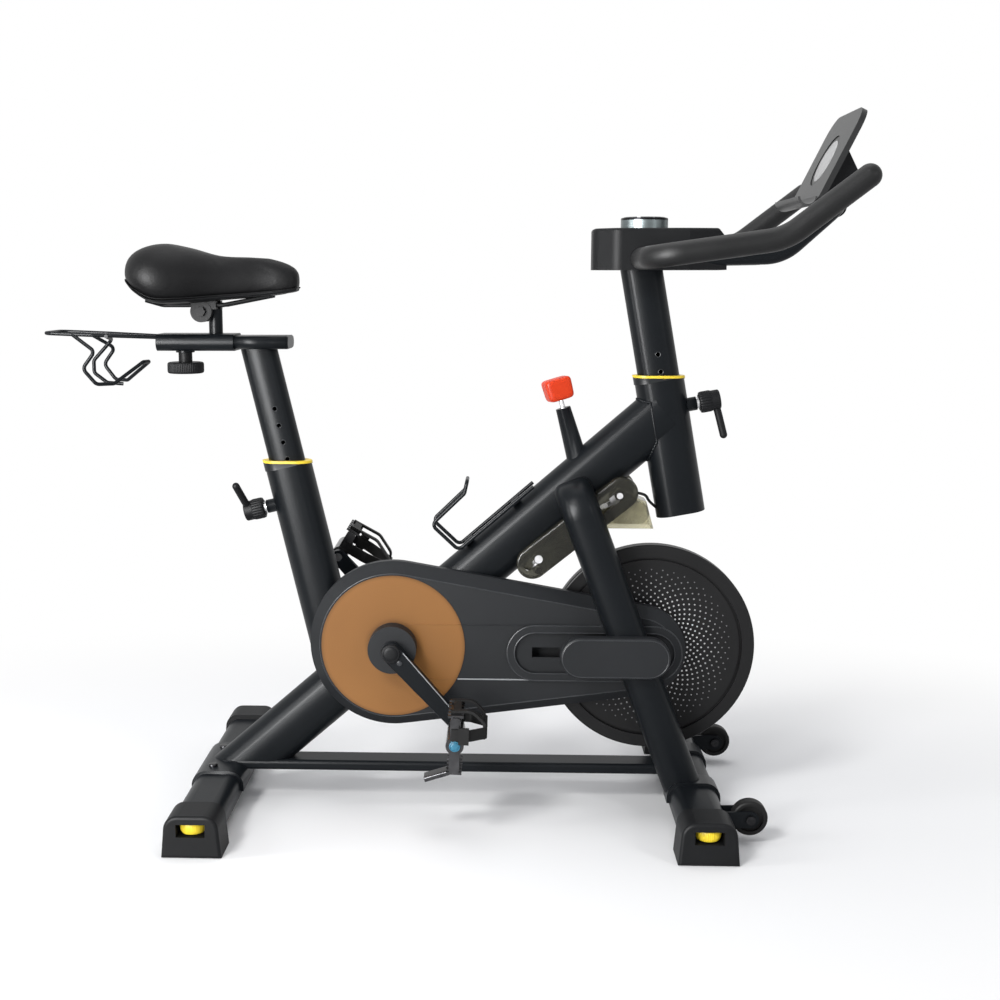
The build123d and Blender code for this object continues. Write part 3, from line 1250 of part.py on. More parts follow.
def loop_solid(radius):
    """Inner loop bar that carries the tray."""
    start = BAR_X + BAR_R - 2.0
    points = [(start, -LOOP_Y, BAR_Z), (LOOP_RUN_X, -LOOP_Y, LOOP_RUN_Z), (LOOP_TIP_X, -LOOP_Y, LOOP_TIP_Z)]
    points += [(x, -y, z) for x, y, z in reversed(points)]
    return wire_rod(points, [70.0, 22.0, 22.0, 70.0], radius)


def handlebar_tube():
    """Steel handlebar and its inner loop."""
    bar = bar_sweep(1, BAR_R) + bar_sweep(-1, BAR_R)
    return bar + loop_solid(LOOP_R)


def handlebar_grips():
    """Foam sleeves on the two bars with closed round tips."""
    box = Box(2 * BOX_X1, 2 * (BOX_HALF + 4.0), 4000)
    grips = []
    for side in (1, -1):
        foam = bar_sweep(side, GRIP_R) + Pos(BAR_TIP_X, -side * BAR_Y, BAR_TIP_Z) * Sphere(GRIP_R)
        grips.append(foam - bar_sweep(side, BAR_R) - box)
    return Compound(children=grips)


def handlebar_post():
    """Handlebar post with index holes, welded under the bar."""
    start = HEAD.offset(-BAR_POST_SUNK)
    long = BAR_POST_SUNK + BAR_POST_RISE
    post = extrude(start * SlotOverall(BAR_POST_LONG, BAR_POST_WIDE), amount=long)
    bore = SlotOverall(BAR_POST_LONG - 2 * STEEL_WALL, BAR_POST_WIDE - 2 * STEEL_WALL)
    post -= extrude(start * bore, amount=long - 4.0)
    for hole in index_holes(HEAD, 14.0, 2, BAR_POST_WIDE):
        post -= hole
    return post - bar_sweep(1, BAR_R) - bar_sweep(-1, BAR_R)


def box_outline(inset):
    """Plan of the head box: round back, straight sides, narrower front."""
    back = BOX_X0 + inset
    front = BOX_X1 - inset
    half = BOX_HALF - inset
    points = [(back, half - 30), (back + 34, half), (front - 60, half), (front, half - 14)]
    points += [(x, -y) for x, y in reversed(points)]
    face = make_face(Polyline(*points, close=True))
    corners = face.vertices().sort_by(Axis.X)
    return fillet(corners[:4], 24.0 - inset)


def head_box():
    """Plastic head box over the bar clamp with holes for the post and bars."""
    plan = Plane.XY.offset(BOX_Z0)
    box = extrude(plan * box_outline(0.0), amount=BOX_Z1 - BOX_Z0)
    ramp = Plane.XZ * make_face(
        Polyline((BOX_X1 - 14, BOX_Z1), (BOX_X1 + 1, BOX_Z1), (BOX_X1 + 1, BOX_Z1 - 18), close=True)
    )
    box -= extrude(ramp, amount=100, both=True)
    box = fillet(box.faces().sort_by(Axis.Z)[-1].edges(), 5.0)
    box -= extrude(plan.offset(PLASTIC_WALL) * box_outline(PLASTIC_WALL), amount=BOX_Z1 - BOX_Z0 - 22.0)
    box -= bar_sweep(1, BAR_R) + bar_sweep(-1, BAR_R)
    box -= loop_solid(LOOP_R)
    post = SlotOverall(BAR_POST_LONG, BAR_POST_WIDE)
    return box - extrude(HEAD * post, amount=BAR_POST_RISE + 30.0)


def display_ring():
    """Silver ring of the round display on the head box."""
    ring = Pos(PUCK_X, 0, BOX_Z1) * Cylinder(PUCK_R, PUCK_TALL, align=(Align.CENTER, Align.CENTER, Align.MIN))
    ring = fillet(ring.edges().sort_by(Axis.Z)[-1], 2.0)
    seat = Pos(PUCK_X, 0, BOX_Z1 + PUCK_TALL) * Cylinder(PUCK_R - 4.0, 2 * PUCK_GLASS)
    return ring - seat


def display_glass():
    glass = Pos(PUCK_X, 0, BOX_Z1 + PUCK_TALL - PUCK_GLASS) * Cylinder(
        PUCK_R - 4.0, PUCK_GLASS + 1.0, align=(Align.CENTER, Align.CENTER, Align.MIN)
    )
    return fillet(glass.edges().sort_by(Axis.Z)[-1], 0.8)


TRAY_A = radians(TRAY_LEAN)
TRAY = Plane(
    origin=(TRAY_X, 0, TRAY_Z),
    x_dir=(0, 1, 0),
    z_dir=(cos(TRAY_A), 0, -sin(TRAY_A)),
)


def tray_board():
    """Tray plate with rounded top corners, oval window and a curved lip along its foot."""
    plate = Pos(0, TRAY_TALL / 2) * Rectangle(2 * TRAY_HALF, TRAY_TALL)
    plate = fillet(plate.vertices().sort_by(Axis.Y)[2:], 34.0)
    plate = fillet(plate.vertices().sort_by(Axis.Y)[:2], 8.0)
    plate -= Pos(0, 70.0) * Ellipse(TRAY_HOLE_WIDE / 2, TRAY_HOLE_TALL / 2)
    board = extrude(TRAY * plate, amount=TRAY_THICK)
    trough = Pos(TRAY_X - LIP_R + 3.0, TRAY_Z + 4.0) * Circle(LIP_R)
    trough -= Pos(TRAY_X - LIP_R + 3.0, TRAY_Z + 4.0) * Circle(LIP_R - LIP_WALL)
    trough -= Pos(TRAY_X - LIP_R, TRAY_Z + 4.0 + 50.0) * Rectangle(200, 100)
    lip = slab(trough, TRAY_HALF - 10.0, -TRAY_HALF + 10.0)
    return board + lip


def tray_support():
    """Support behind the tray: clamp eye on the loop bar, ribbed web and bent leaf."""
    eye = rod_y(LOOP_R + 5.0, -14, 14, LOOP_TIP_X, LOOP_TIP_Z)
    back = TRAY.from_local_coords((0, 8.0, TRAY_THICK))
    high = TRAY.from_local_coords((0, 92.0, TRAY_THICK))
    web = make_face(
        Polyline((back.X, back.Z), (LOOP_TIP_X - 6, LOOP_TIP_Z - 4), (LOOP_TIP_X + 14, LOOP_TIP_Z + 4),
                 (LOOP_TIP_X + 21, LOOP_TIP_Z + 44), (high.X, high.Z), close=True)
    )
    body = slab(web, 14, -14) + eye
    wings = make_face(
        Polyline((back.X, back.Z), (back.X + 12, back.Z - 8), (LOOP_TIP_X + 22, LOOP_TIP_Z + 46),
                 (high.X, high.Z), close=True)
    )
    for y in (-64, 60):
        body += slab(wings, y + 4, y)
    leaf = make_face(
        Polyline((back.X + 12, back.Z - 8), (LOOP_TIP_X + 22, LOOP_TIP_Z + 46),
                 (LOOP_TIP_X + 18, LOOP_TIP_Z + 46), (back.X + 10, back.Z - 5), close=True)
    )
    body += slab(leaf, 64, -64)
    body -= rod_y(LOOP_R + RUNNING_GAP, -100, 100, LOOP_TIP_X, LOOP_TIP_Z)
    tilt = loop_solid(LOOP_R + 3.0) - rod_y(LOOP_R + 8.0, -14.2, 14.2, LOOP_TIP_X, LOOP_TIP_Z)
    return body - tilt


NODES = [
    main_tube, seat_tube, head_tube, fork_legs, base_rail, rear_stabilizer, front_stabilizer, end_caps,
    frame_bolts, belt_guard_outer, belt_guard_inner, guard_disc, axle_badge, flywheel_axle, bearings,
    drive_belt, brake_covers, sensor_lead, post_collars, bottle_cage,
    crank_axle, drive_pulley, crank_arms, crank_hardware,
    right_pedal_body, right_pedal_strap, left_pedal_body, left_pedal_strap,
    flywheel, flywheel_hub,
    seat_post, seat_sleeve, rear_rack, slider_knob,
    saddle_clamp, saddle_rails, saddle_pan, saddle_cushion,
    handlebar_post, handlebar_tube, handlebar_grips, head_box, display_ring, display_glass,
    tray_board, tray_support,
    tension_rod, tension_knob, magnet_arm, magnet_shroud,
    seat_lock_pin, seat_lock_lever, post_lock_pin, post_lock_lever,
    roller_right, roller_left,
    level_wheel_rear_right, level_wheel_rear_left, level_wheel_front_right, level_wheel_front_left,
]

os.makedirs("parts", exist_ok=True)
for make in NODES:
    export_step(make(), f"parts/{make.__name__}.step")
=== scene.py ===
import json
from math import cos, pi, radians, sin

import bmesh
import bpy
import numpy as np
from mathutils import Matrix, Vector


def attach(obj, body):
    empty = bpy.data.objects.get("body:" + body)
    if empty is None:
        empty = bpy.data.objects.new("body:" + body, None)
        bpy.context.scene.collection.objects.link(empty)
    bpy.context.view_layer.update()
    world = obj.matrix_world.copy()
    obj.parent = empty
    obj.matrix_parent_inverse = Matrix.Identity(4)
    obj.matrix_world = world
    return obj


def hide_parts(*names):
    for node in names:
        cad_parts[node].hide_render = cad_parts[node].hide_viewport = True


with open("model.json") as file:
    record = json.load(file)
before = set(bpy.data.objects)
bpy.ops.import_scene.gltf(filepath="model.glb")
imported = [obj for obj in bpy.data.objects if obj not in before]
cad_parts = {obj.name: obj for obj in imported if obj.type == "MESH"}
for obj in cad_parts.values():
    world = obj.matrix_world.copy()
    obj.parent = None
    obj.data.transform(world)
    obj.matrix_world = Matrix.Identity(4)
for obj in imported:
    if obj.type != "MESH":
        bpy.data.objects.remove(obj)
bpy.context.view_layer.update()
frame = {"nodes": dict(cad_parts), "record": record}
NODES = frame["nodes"]

# Places and leans repeated from the part's source, in metres and radians
CRANK_AXIS = np.array([-0.079, 0.0, 0.274])
CRANK_ANGLE = radians(-48.0)
CRANK_LENGTH = 0.157
DISC_RADIUS = 0.1165
PEDAL_END = 0.205
SEAT_LEAN = radians(13.2)
HEAD_LEAN = radians(10.45)
MAIN_ANGLE = radians(41.0)
SEAT_LOCK = np.array([-0.27606, 0.0, 0.49585])
HEAD_LOCK = np.array([0.39457, 0.0, 0.66294])
SEAT_TOP = np.array([-0.2523, 0.0, 0.561])
HEAD_TOP = np.array([0.3472, 0.0, 0.702])
HEAD_HALF = 0.0395
LEG_TOP = np.array([0.211, 0.0, 0.527])
LEG_LEAN = np.arctan2(0.179, 0.475)
SEAT_BAND = 0.5688
HEAD_BAND = 0.7085
SLIDER_KNOB = np.array([-0.417, 0.0, 0.7115])
GUARD_FACE = -0.056
GUARD_TIP = np.array([0.320, 0.265])
LEVEL_X = ((-0.369, "rear"), (0.407, "front"))
LEVEL_OUT = 0.2535
WHEEL_AXIS = np.array([0.341, 0.0, 0.264])
WHEEL_RADIUS = 0.171
FACE_DEPTH = 0.010
TRAY_WINDOW = np.array([0.5957, 0.0, 1.0439])
ROD_TOP = np.array([0.194, 0.0, 0.657])
ROD_LEAN = radians(16.0)
TRAY_LEAN = radians(26.0)
TRAY_FOOT = np.array([0.565, 0.0, 0.981])

# Colours that more than one finish has, each from dark to light
CHARCOAL = ((0.0060, 0.0074, 0.0090), (0.0095, 0.0112, 0.0132))
BARE_STEEL = ((0.42, 0.42, 0.43), (0.66, 0.66, 0.67))


class Field:
    """A value socket with arithmetic: every operator adds one Math node to its tree."""

    def __init__(self, tree, socket):
        self.tree = tree
        self.socket = socket

    def math(self, operation, *values):
        """Result of one Math node on fields or numbers."""
        node = self.tree.nodes.new("ShaderNodeMath")
        node.operation = operation
        for slot, value in zip(node.inputs, values):
            if isinstance(value, Field):
                self.tree.links.new(value.socket, slot)
            else:
                slot.default_value = value
        return Field(self.tree, node.outputs[0])

    def __add__(self, other):
        return self.math("ADD", self, other)

    __radd__ = __add__

    def __sub__(self, other):
        return self.math("SUBTRACT", self, other)

    def __rsub__(self, other):
        return self.math("SUBTRACT", other, self)

    def __mul__(self, other):
        return self.math("MULTIPLY", self, other)

    __rmul__ = __mul__

    def __truediv__(self, other):
        return self.math("DIVIDE", self, other)

    def __pow__(self, other):
        return self.math("POWER", self, other)

    def __abs__(self):
        return self.math("ABSOLUTE", self)

    def sine(self):
        """Sine of the value in radians."""
        return self.math("SINE", self)

    def above(self, edge, blur):
        """0 below the edge and 1 above it, blurred over a width."""
        node = self.tree.nodes.new("ShaderNodeMapRange")
        node.interpolation_type = "SMOOTHSTEP"
        self.tree.links.new(self.socket, node.inputs["Value"])
        node.inputs["From Min"].default_value = edge - blur / 2
        node.inputs["From Max"].default_value = edge + blur / 2
        return Field(self.tree, node.outputs["Result"])


class Finish:
    """One procedural finish on a Principled shader, read from Object coordinates."""

    def __init__(self, name, **constants):
        self.material = bpy.data.materials.new(name)
        self.material.use_nodes = True
        self.tree = self.material.node_tree
        self.shader = self.tree.nodes["Principled BSDF"]
        for socket, value in constants.items():
            self.shader.inputs[socket.replace("_", " ")].default_value = value
        place = self.tree.nodes.new("ShaderNodeTexCoord")
        self.place = place.outputs["Object"]

    def node(self, kind, settings=None, **sockets):
        """Adds a node of a kind, applies its settings, then fills its sockets with values or links."""
        made = self.tree.nodes.new(kind)
        for key, value in (settings or {}).items():
            setattr(made, key, value)
        for key, value in sockets.items():
            slot = made.inputs[key.replace("_", " ")]
            if isinstance(value, Field):
                self.tree.links.new(value.socket, slot)
            elif isinstance(value, bpy.types.NodeSocket):
                self.tree.links.new(value, slot)
            else:
                slot.default_value = value
        return made

    def placed(self, shift=(0, 0, 0), scale=(1, 1, 1)):
        """Object coordinates stretched and moved."""
        moved = self.node("ShaderNodeMapping", Vector=self.place, Location=shift, Scale=scale)
        return moved.outputs[0]

    def axis(self, name, vector=None):
        """One coordinate of the place."""
        split = self.node("ShaderNodeSeparateXYZ", Vector=vector or self.place)
        return Field(self.tree, split.outputs[name])

    def about(self, centre):
        """X and Z measured from a centre."""
        moved = self.placed(shift=(-centre[0], 0, -centre[2]))
        return self.axis("X", moved), self.axis("Z", moved)

    def radius(self, centre):
        """Distance from the cross axis through a centre."""
        x, z = self.about(centre)
        return (x * x + z * z) ** 0.5

    def noise(self, scale, detail=2.0, vector=None):
        """Cloudy noise from 0 to 1, with a scale in features per metre."""
        made = self.node("ShaderNodeTexNoise", Vector=vector or self.place, Scale=scale, Detail=detail)
        return Field(self.tree, made.outputs["Fac"])

    def cells(self, scale, feature="F1"):
        """Distance from the nearest of scattered cell centres."""
        made = self.node("ShaderNodeTexVoronoi", {"feature": feature}, Vector=self.place, Scale=scale)
        return Field(self.tree, made.outputs["Distance"])

    def blend(self, factor, low, high):
        """Colour mixed between two colours or colour sockets."""
        made = self.node("ShaderNodeMix", {"data_type": "RGBA"})
        self.tree.links.new(factor.socket, made.inputs[0])
        for slot, value in ((made.inputs[6], low), (made.inputs[7], high)):
            if isinstance(value, bpy.types.NodeSocket):
                self.tree.links.new(value, slot)
            else:
                slot.default_value = (*value, 1.0)
        return made.outputs[2]

    def colour(self, socket):
        """Links the base colour."""
        self.tree.links.new(socket, self.shader.inputs["Base Color"])
        return self

    def rough(self, value):
        """Links the roughness."""
        self.tree.links.new(value.socket, self.shader.inputs["Roughness"])
        return self

    def bump(self, height, depth, strength=1.0):
        """Surface relief: a height field times a depth in metres."""
        made = self.node("ShaderNodeBump", Height=height, Distance=depth, Strength=strength)
        self.tree.links.new(made.outputs["Normal"], self.shader.inputs["Normal"])
        return self


def frame_paint(name, middle=None, lean=0.0, half=1.0, crown=0.0):
    """Satin charcoal powder coat: orange peel, cloudy tone, and a soft crown across a tube's flat sides.

    The crown is a height of minus crown times the square of the distance from the tube's axis over its half width.
    """
    f = Finish(name, Specular_IOR_Level=0.07, Coat_Weight=0.02, Coat_Roughness=0.25)
    cloud = f.noise(9.0, 3.0)
    peel = f.noise(900.0, 1.0)
    f.colour(f.blend(cloud, *CHARCOAL))
    f.rough(0.27 + 0.07 * cloud + 0.04 * peel)
    height = 0.00007 * peel
    if middle is not None:
        x, z = f.about(middle)
        off = (x * cos(lean) + z * sin(lean)) / half
        height = height - crown * (off * off)
    return f.bump(height, 1.0).material


def guard_plastic():
    """Moulded guard plastic: fine spark grain and a soft sheen."""
    f = Finish("moulded_guard_plastic", Specular_IOR_Level=0.12)
    cloud = f.noise(6.0, 3.0)
    grain = f.noise(1500.0, 2.0)
    f.colour(f.blend(cloud, (0.0125, 0.0136, 0.0153), (0.0176, 0.0191, 0.0212)))
    return f.rough(0.36 + 0.10 * cloud + 0.08 * grain).bump(grain, 0.00010, 0.5).material


def cap_plastic():
    """Darker foot and box plastic with coarser grain."""
    f = Finish("grained_black_plastic", Specular_IOR_Level=0.08)
    cloud = f.noise(14.0, 3.0)
    grain = f.noise(1100.0, 2.0)
    f.colour(f.blend(cloud, (0.0072, 0.0076, 0.0084), (0.0130, 0.0136, 0.0146)))
    return f.rough(0.38 + 0.12 * cloud + 0.08 * grain).bump(grain, 0.00014, 0.6).material


def coloured_plastic(name, low, high, roughness):
    """Coloured moulding: two close tones in soft clouds, fine grain."""
    f = Finish(name, Specular_IOR_Level=0.14)
    cloud = f.noise(30.0, 3.0)
    grain = f.noise(1300.0, 1.0)
    f.colour(f.blend(cloud, low, high))
    return f.rough(roughness + 0.10 * cloud).bump(grain, 0.00008, 0.5).material


def copper_disc():
    """Copper-brown disc: faint turned rings about the crank axis, with painted shade towards its rim and a painted
    shadow round the collar.
    """
    f = Finish("copper_brown_disc", Specular_IOR_Level=0.06)
    radius = f.radius(CRANK_AXIS)
    rings = (radius * 2600.0).sine() * 0.5 + 0.5
    cloud = f.noise(7.0, 2.0)
    # painted shade near the rim and a painted shadow round the collar, mixed in below as a dark brown
    shade = radius.above(DISC_RADIUS - 0.002, 0.010) + (1 - radius.above(0.042, 0.014))
    plain = f.blend(0.7 * cloud + 0.2 * rings, (0.236, 0.106, 0.034), (0.318, 0.150, 0.049))
    f.colour(f.blend(0.6 * shade, plain, (0.10, 0.045, 0.018)))
    return f.rough(0.42 + 0.1 * cloud).bump(rings, 0.00004, 0.4).material


def bright_steel():
    """Brushed steel: long fine streaks in tone and gloss."""
    f = Finish("brushed_bright_steel", Metallic=1.0)
    streak = f.noise(260.0, 3.0, f.placed(scale=(1.0, 0.06, 1.0)))
    f.colour(f.blend(streak, *BARE_STEEL))
    return f.rough(0.22 + 0.16 * streak).bump(streak, 0.00005, 0.5).material


def flywheel_paint():
    """Black satin flywheel: turned rings about its axis under a thin coat."""
    f = Finish("black_flywheel_coat", Specular_IOR_Level=0.13, Coat_Weight=0.05, Coat_Roughness=0.2)
    rings = (f.radius(WHEEL_AXIS) * 4200.0).sine() * 0.5 + 0.5
    cloud = f.noise(8.0, 2.0)
    f.colour(f.blend(cloud, (0.0070, 0.0070, 0.0074), (0.0110, 0.0110, 0.0116)))
    return f.rough(0.30 + 0.12 * cloud + 0.06 * rings).bump(rings, 0.00003, 0.5).material


def dot_paint():
    """Pale printed dots with slight speckle, fading to grey away from the wheel's axis."""
    f = Finish("pale_dot_print", Specular_IOR_Level=0.2)
    outer = f.radius(WHEEL_AXIS).above(0.098, 0.075)
    speck = f.noise(700.0, 2.0)
    near = f.blend(speck, (0.66, 0.66, 0.66), (0.86, 0.86, 0.86))
    f.colour(f.blend(outer, near, (0.15, 0.15, 0.155)))
    return f.rough(0.40 + 0.15 * speck).material


def smoky_plastic(name, low, high):
    """Smoky olive clear moulding: see-through with cloudy depth."""
    f = Finish(name, Transmission_Weight=0.82, IOR=1.3, Specular_IOR_Level=0.14)
    cloud = f.noise(24.0, 3.0)
    f.colour(f.blend(cloud, low, high))
    return f.rough(0.16 + 0.12 * cloud).material


def bolt_steel():
    """Bolts: black oxide on the low foot bolts, brushed bright on the guard and cover screws above."""
    f = Finish("frame_bolt_steel", Metallic=1.0)
    high = f.axis("Z").above(0.16, 0.02)
    streak = f.noise(260.0, 3.0)
    bright = f.blend(streak, *BARE_STEEL)
    dark = f.blend(streak, (0.012, 0.012, 0.013), (0.040, 0.040, 0.042))
    f.colour(f.blend(high, dark, bright))
    return f.rough(0.24 + 0.16 * streak).material


def band_plastic():
    """Collar finish: yellow on the two level bands, charcoal paint on the skirts below them."""
    f = Finish("yellow_collar_band", Specular_IOR_Level=0.2)
    height = f.axis("Z")
    seat = 1 - abs(height - SEAT_BAND).above(0.0021, 0.0004)
    head = 1 - abs(height - HEAD_BAND).above(0.0021, 0.0004)
    cloud = f.noise(30.0, 3.0)
    paint = f.blend(cloud, *CHARCOAL)
    f.colour(f.blend(seat + head, paint, f.blend(cloud, (0.80, 0.56, 0.03), (0.92, 0.68, 0.06))))
    return f.rough(0.32 + 0.10 * cloud).material


def foam():
    """Closed-cell foam: matt with small pores."""
    f = Finish("black_bar_foam", Specular_IOR_Level=0.17)
    pores = f.cells(620.0)
    cloud = f.noise(16.0, 3.0)
    f.colour(f.blend(cloud, (0.0075, 0.0077, 0.0080), (0.0130, 0.0133, 0.0138)))
    return f.rough(0.40 + 0.14 * cloud).bump(pores, 0.00025, 0.5).material


def saddle_leather():
    """Black synthetic leather: pebble grain of uneven cells over a soft cloud of gloss."""
    f = Finish("black_saddle_leather", Specular_IOR_Level=0.09)
    pebble = f.cells(420.0, "SMOOTH_F1")
    cloud = f.noise(12.0, 3.0)
    f.colour(f.blend(cloud, (0.0055, 0.0055, 0.0060), (0.0100, 0.0100, 0.0106)))
    return f.rough(0.40 + 0.16 * cloud).bump(pebble, 0.0003, 0.5).material


def rubber():
    """Matt black rubber with a dusty tone."""
    f = Finish("matt_black_rubber", Specular_IOR_Level=0.13)
    dust = f.noise(40.0, 4.0)
    grain = f.noise(1600.0, 1.0)
    f.colour(f.blend(dust, (0.0060, 0.0060, 0.0060), (0.0120, 0.0120, 0.0120)))
    return f.rough(0.46 + 0.16 * dust).bump(grain, 0.0001, 0.5).material


def dark_glass():
    """Glossy dark display glass with a faint smudge in its gloss."""
    f = Finish("dark_display_glass", Specular_IOR_Level=0.6, Coat_Weight=0.8, Coat_Roughness=0.04)
    smudge = f.noise(30.0, 3.0)
    f.colour(f.blend(smudge, (0.030, 0.040, 0.045), (0.045, 0.058, 0.064)))
    return f.rough(0.06 + 0.08 * smudge).material


def silver_ring():
    """Satin aluminium ring with turned lines and a black top edge."""
    f = Finish("satin_silver_ring", Metallic=1.0)
    lines = f.noise(300.0, 3.0, f.placed(scale=(0.1, 0.1, 4.0)))
    side = f.blend(lines, (0.11, 0.13, 0.133), (0.18, 0.205, 0.21))
    f.colour(f.blend(f.axis("Z").above(0.9532, 0.0006), side, (0.010, 0.010, 0.011)))
    return f.rough(0.24 + 0.14 * lines).material


def tray_plastic():
    """Tray moulding: grey face on the side that carries the tablet, black elsewhere."""
    f = Finish("grey_tray_moulding", Specular_IOR_Level=0.25)
    x, z = f.about(TRAY_FOOT)
    face = 1 - (x * cos(TRAY_LEAN) - z * sin(TRAY_LEAN)).above(0.0006, 0.0004)
    grain = f.noise(1200.0, 2.0)
    cloud = f.noise(9.0, 2.0)
    dark = f.blend(cloud, (0.0070, 0.0074, 0.0080), (0.0120, 0.0125, 0.0132))
    pale = f.blend(cloud, (0.036, 0.037, 0.037), (0.055, 0.056, 0.056))
    f.colour(f.blend(face, dark, pale))
    return f.rough(0.40 + 0.1 * cloud).bump(grain, 0.0001, 0.5).material


def pad_plastic():
    """Tray pad: a pale oval in the middle of a dark rim, lightly grained."""
    f = Finish("pale_tray_pad", Specular_IOR_Level=0.25)
    x, z = f.about(TRAY_WINDOW)
    up = (x * sin(TRAY_LEAN) + z * cos(TRAY_LEAN)) / 0.034
    across = f.axis("Y") / 0.038
    rim = ((up * up + across * across) ** 0.5).above(1.0, 0.04)
    cloud = f.noise(20.0, 2.0)
    pale = f.blend(cloud, (0.30, 0.30, 0.30), (0.42, 0.42, 0.42))
    f.colour(f.blend(rim, pale, (0.045, 0.046, 0.046)))
    return f.rough(0.40 + 0.1 * cloud).bump(f.noise(1200.0, 2.0), 0.0001, 0.5).material


def pedal_metal():
    """Dark pedal metal: glossy near-black with fine scuffs and a faint worn haze."""
    f = Finish("dark_pedal_metal", Metallic=1.0)
    haze = f.noise(45.0, 3.0)
    scuff = f.noise(420.0, 2.0, f.placed(scale=(1.0, 0.08, 1.0)))
    f.colour(f.blend(haze, (0.022, 0.022, 0.024), (0.085, 0.085, 0.088)))
    return f.rough(0.20 + 0.18 * haze).bump(scuff, 0.00006, 0.5).material


PAINT = frame_paint("charcoal_powder_coat")
GUARD = guard_plastic()
CAPS = cap_plastic()
YELLOW = coloured_plastic("yellow_trim_plastic", (0.86, 0.62, 0.025), (0.95, 0.72, 0.05), 0.34)
RED = coloured_plastic("red_orange_knob", (0.56, 0.030, 0.005), (0.68, 0.052, 0.010), 0.36)
BLUE = coloured_plastic("blue_pedal_cap", (0.035, 0.15, 0.24), (0.06, 0.24, 0.36), 0.30)
DISC = copper_disc()
STEEL = bright_steel()
WHEEL = flywheel_paint()
DOTS = dot_paint()
SMOKE = smoky_plastic("smoky_olive_plastic", (0.052, 0.051, 0.041), (0.130, 0.126, 0.098))
HAZE = smoky_plastic("hazy_olive_shroud", (0.46, 0.44, 0.31), (0.66, 0.63, 0.48))
FOAM = foam()
LEATHER = saddle_leather()
RUBBER = rubber()
GLASS = dark_glass()
SILVER = silver_ring()
TRAY = tray_plastic()
PEDAL = pedal_metal()
PAD = pad_plastic()
BAND = band_plastic()
BOLTS = bolt_steel()
# grey trim: the own colour of the crank bolts and hole rims, and a painted highlight on the guard's beads
GREY_TRIM_AND_HIGHLIGHT = coloured_plastic("grey_trim_and_painted_highlight", (0.030, 0.032, 0.035), (0.055, 0.058, 0.062), 0.28)
# near white: a painted highlight on the guard's lower line and along the crank arms' upper edges
PAINTED_HIGHLIGHT = coloured_plastic("painted_highlight_line", (0.26, 0.27, 0.28), (0.36, 0.37, 0.38), 0.30)

NODE_FINISH = {
    "frame_paint": PAINT, "black_plastic": CAPS, "yellow_plastic": YELLOW, "copper_brown": DISC,
    "red_plastic": RED, "smoky_plastic": SMOKE, "flywheel_paint": WHEEL, "bright_steel": STEEL,
    "silver_ring": SILVER, "dark_glass": GLASS, "foam": FOAM, "saddle_leather": LEATHER,
    "black_rubber": RUBBER, "tray_plastic": TRAY,
}
OWN_FINISH = {
    "belt_guard_outer": GUARD, "belt_guard_inner": GUARD, "axle_badge": GUARD, "right_pedal_body": PEDAL,
    "left_pedal_body": PEDAL, "saddle_rails": CAPS, "frame_bolts": BOLTS, "magnet_shroud": HAZE,
}
# Crowned tubes: a place on the axis, lean, half width and crown
CROWNED_TUBES = {
    "main_tube": (CRANK_AXIS, MAIN_ANGLE - pi / 2, 0.0433, 0.011),
    "seat_tube": (SEAT_TOP, SEAT_LEAN, 0.038, 0.010),
    "seat_post": (SEAT_TOP, SEAT_LEAN, 0.029, 0.009),
    "head_tube": (HEAD_TOP, HEAD_LEAN, HEAD_HALF, 0.011),
    "handlebar_post": (HEAD_TOP, HEAD_LEAN, 0.033, 0.009),
    "fork_legs": (LEG_TOP, LEG_LEAN, 0.0305, 0.010),
}


def dress_solids():
    """Gives each solid its slot's finish, and some solids a finish of their own."""
    for part in frame["record"]["subparts"]:
        shown = NODES[part["node"]].data.materials
        shown.clear()
        shown.append(NODE_FINISH[part["material_slot"]])
    for name, finish in OWN_FINISH.items():
        NODES[name].data.materials[0] = finish
    for name, sizes in CROWNED_TUBES.items():
        NODES[name].data.materials[0] = frame_paint(f"charcoal_{name}", *sizes)


def add_mesh(name, points, faces, finish, body=None):
    """New piece from points and a list of faces, its faces turned outwards, riding on a body."""
    mesh = bpy.data.meshes.new(name)
    mesh.from_pydata(np.reshape(points, (-1, 3)).tolist(), [], faces)
    work = bmesh.new()
    work.from_mesh(mesh)
    if body:
        bmesh.ops.recalc_face_normals(work, faces=work.faces)
    work.to_mesh(mesh)
    work.free()
    mesh.polygons.foreach_set("use_smooth", np.full(len(mesh.polygons), True))
    mesh.set_sharp_from_angle(angle=radians(42))
    mesh.materials.append(finish)
    piece = bpy.data.objects.new(name, mesh)
    bpy.context.scene.collection.objects.link(piece)
    if body:
        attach(piece, body)
    return piece


def grid_faces(rows, columns, loop=False):
    """Quads of a grid whose columns join round; its rows join round for a loop, else both ends get a lid."""
    i, j = np.meshgrid(np.arange(rows if loop else rows - 1), np.arange(columns), indexing="ij")
    k, n = (j + 1) % columns, (i + 1) % rows
    quads = np.stack([i * columns + j, i * columns + k, n * columns + k, n * columns + j], -1)
    lids = [] if loop else [list(range(columns)), list(range((rows - 1) * columns, rows * columns))]
    return quads.reshape(-1, 4).tolist() + lids


def tube(path, radius, across, sides=10, loop=False):
    """Round section carried along a path: path + radius * (cos a * normal + sin a * binormal)."""
    path = np.asarray(path, float)
    run = np.roll(path, -1, 0) - np.roll(path, 1, 0) if loop else np.gradient(path, axis=0)
    run = run / np.linalg.norm(run, axis=1, keepdims=True)
    normal = np.cross(run, across)
    normal = normal / np.linalg.norm(normal, axis=1, keepdims=True)
    other = np.cross(run, normal)
    a = np.linspace(0, 2 * pi, sides, endpoint=False)[None, :, None]
    r = np.broadcast_to(radius, len(path))[:, None, None]
    points = path[:, None] + r * (np.cos(a) * normal[:, None] + np.sin(a) * other[:, None])
    return points, grid_faces(len(path), sides, loop)


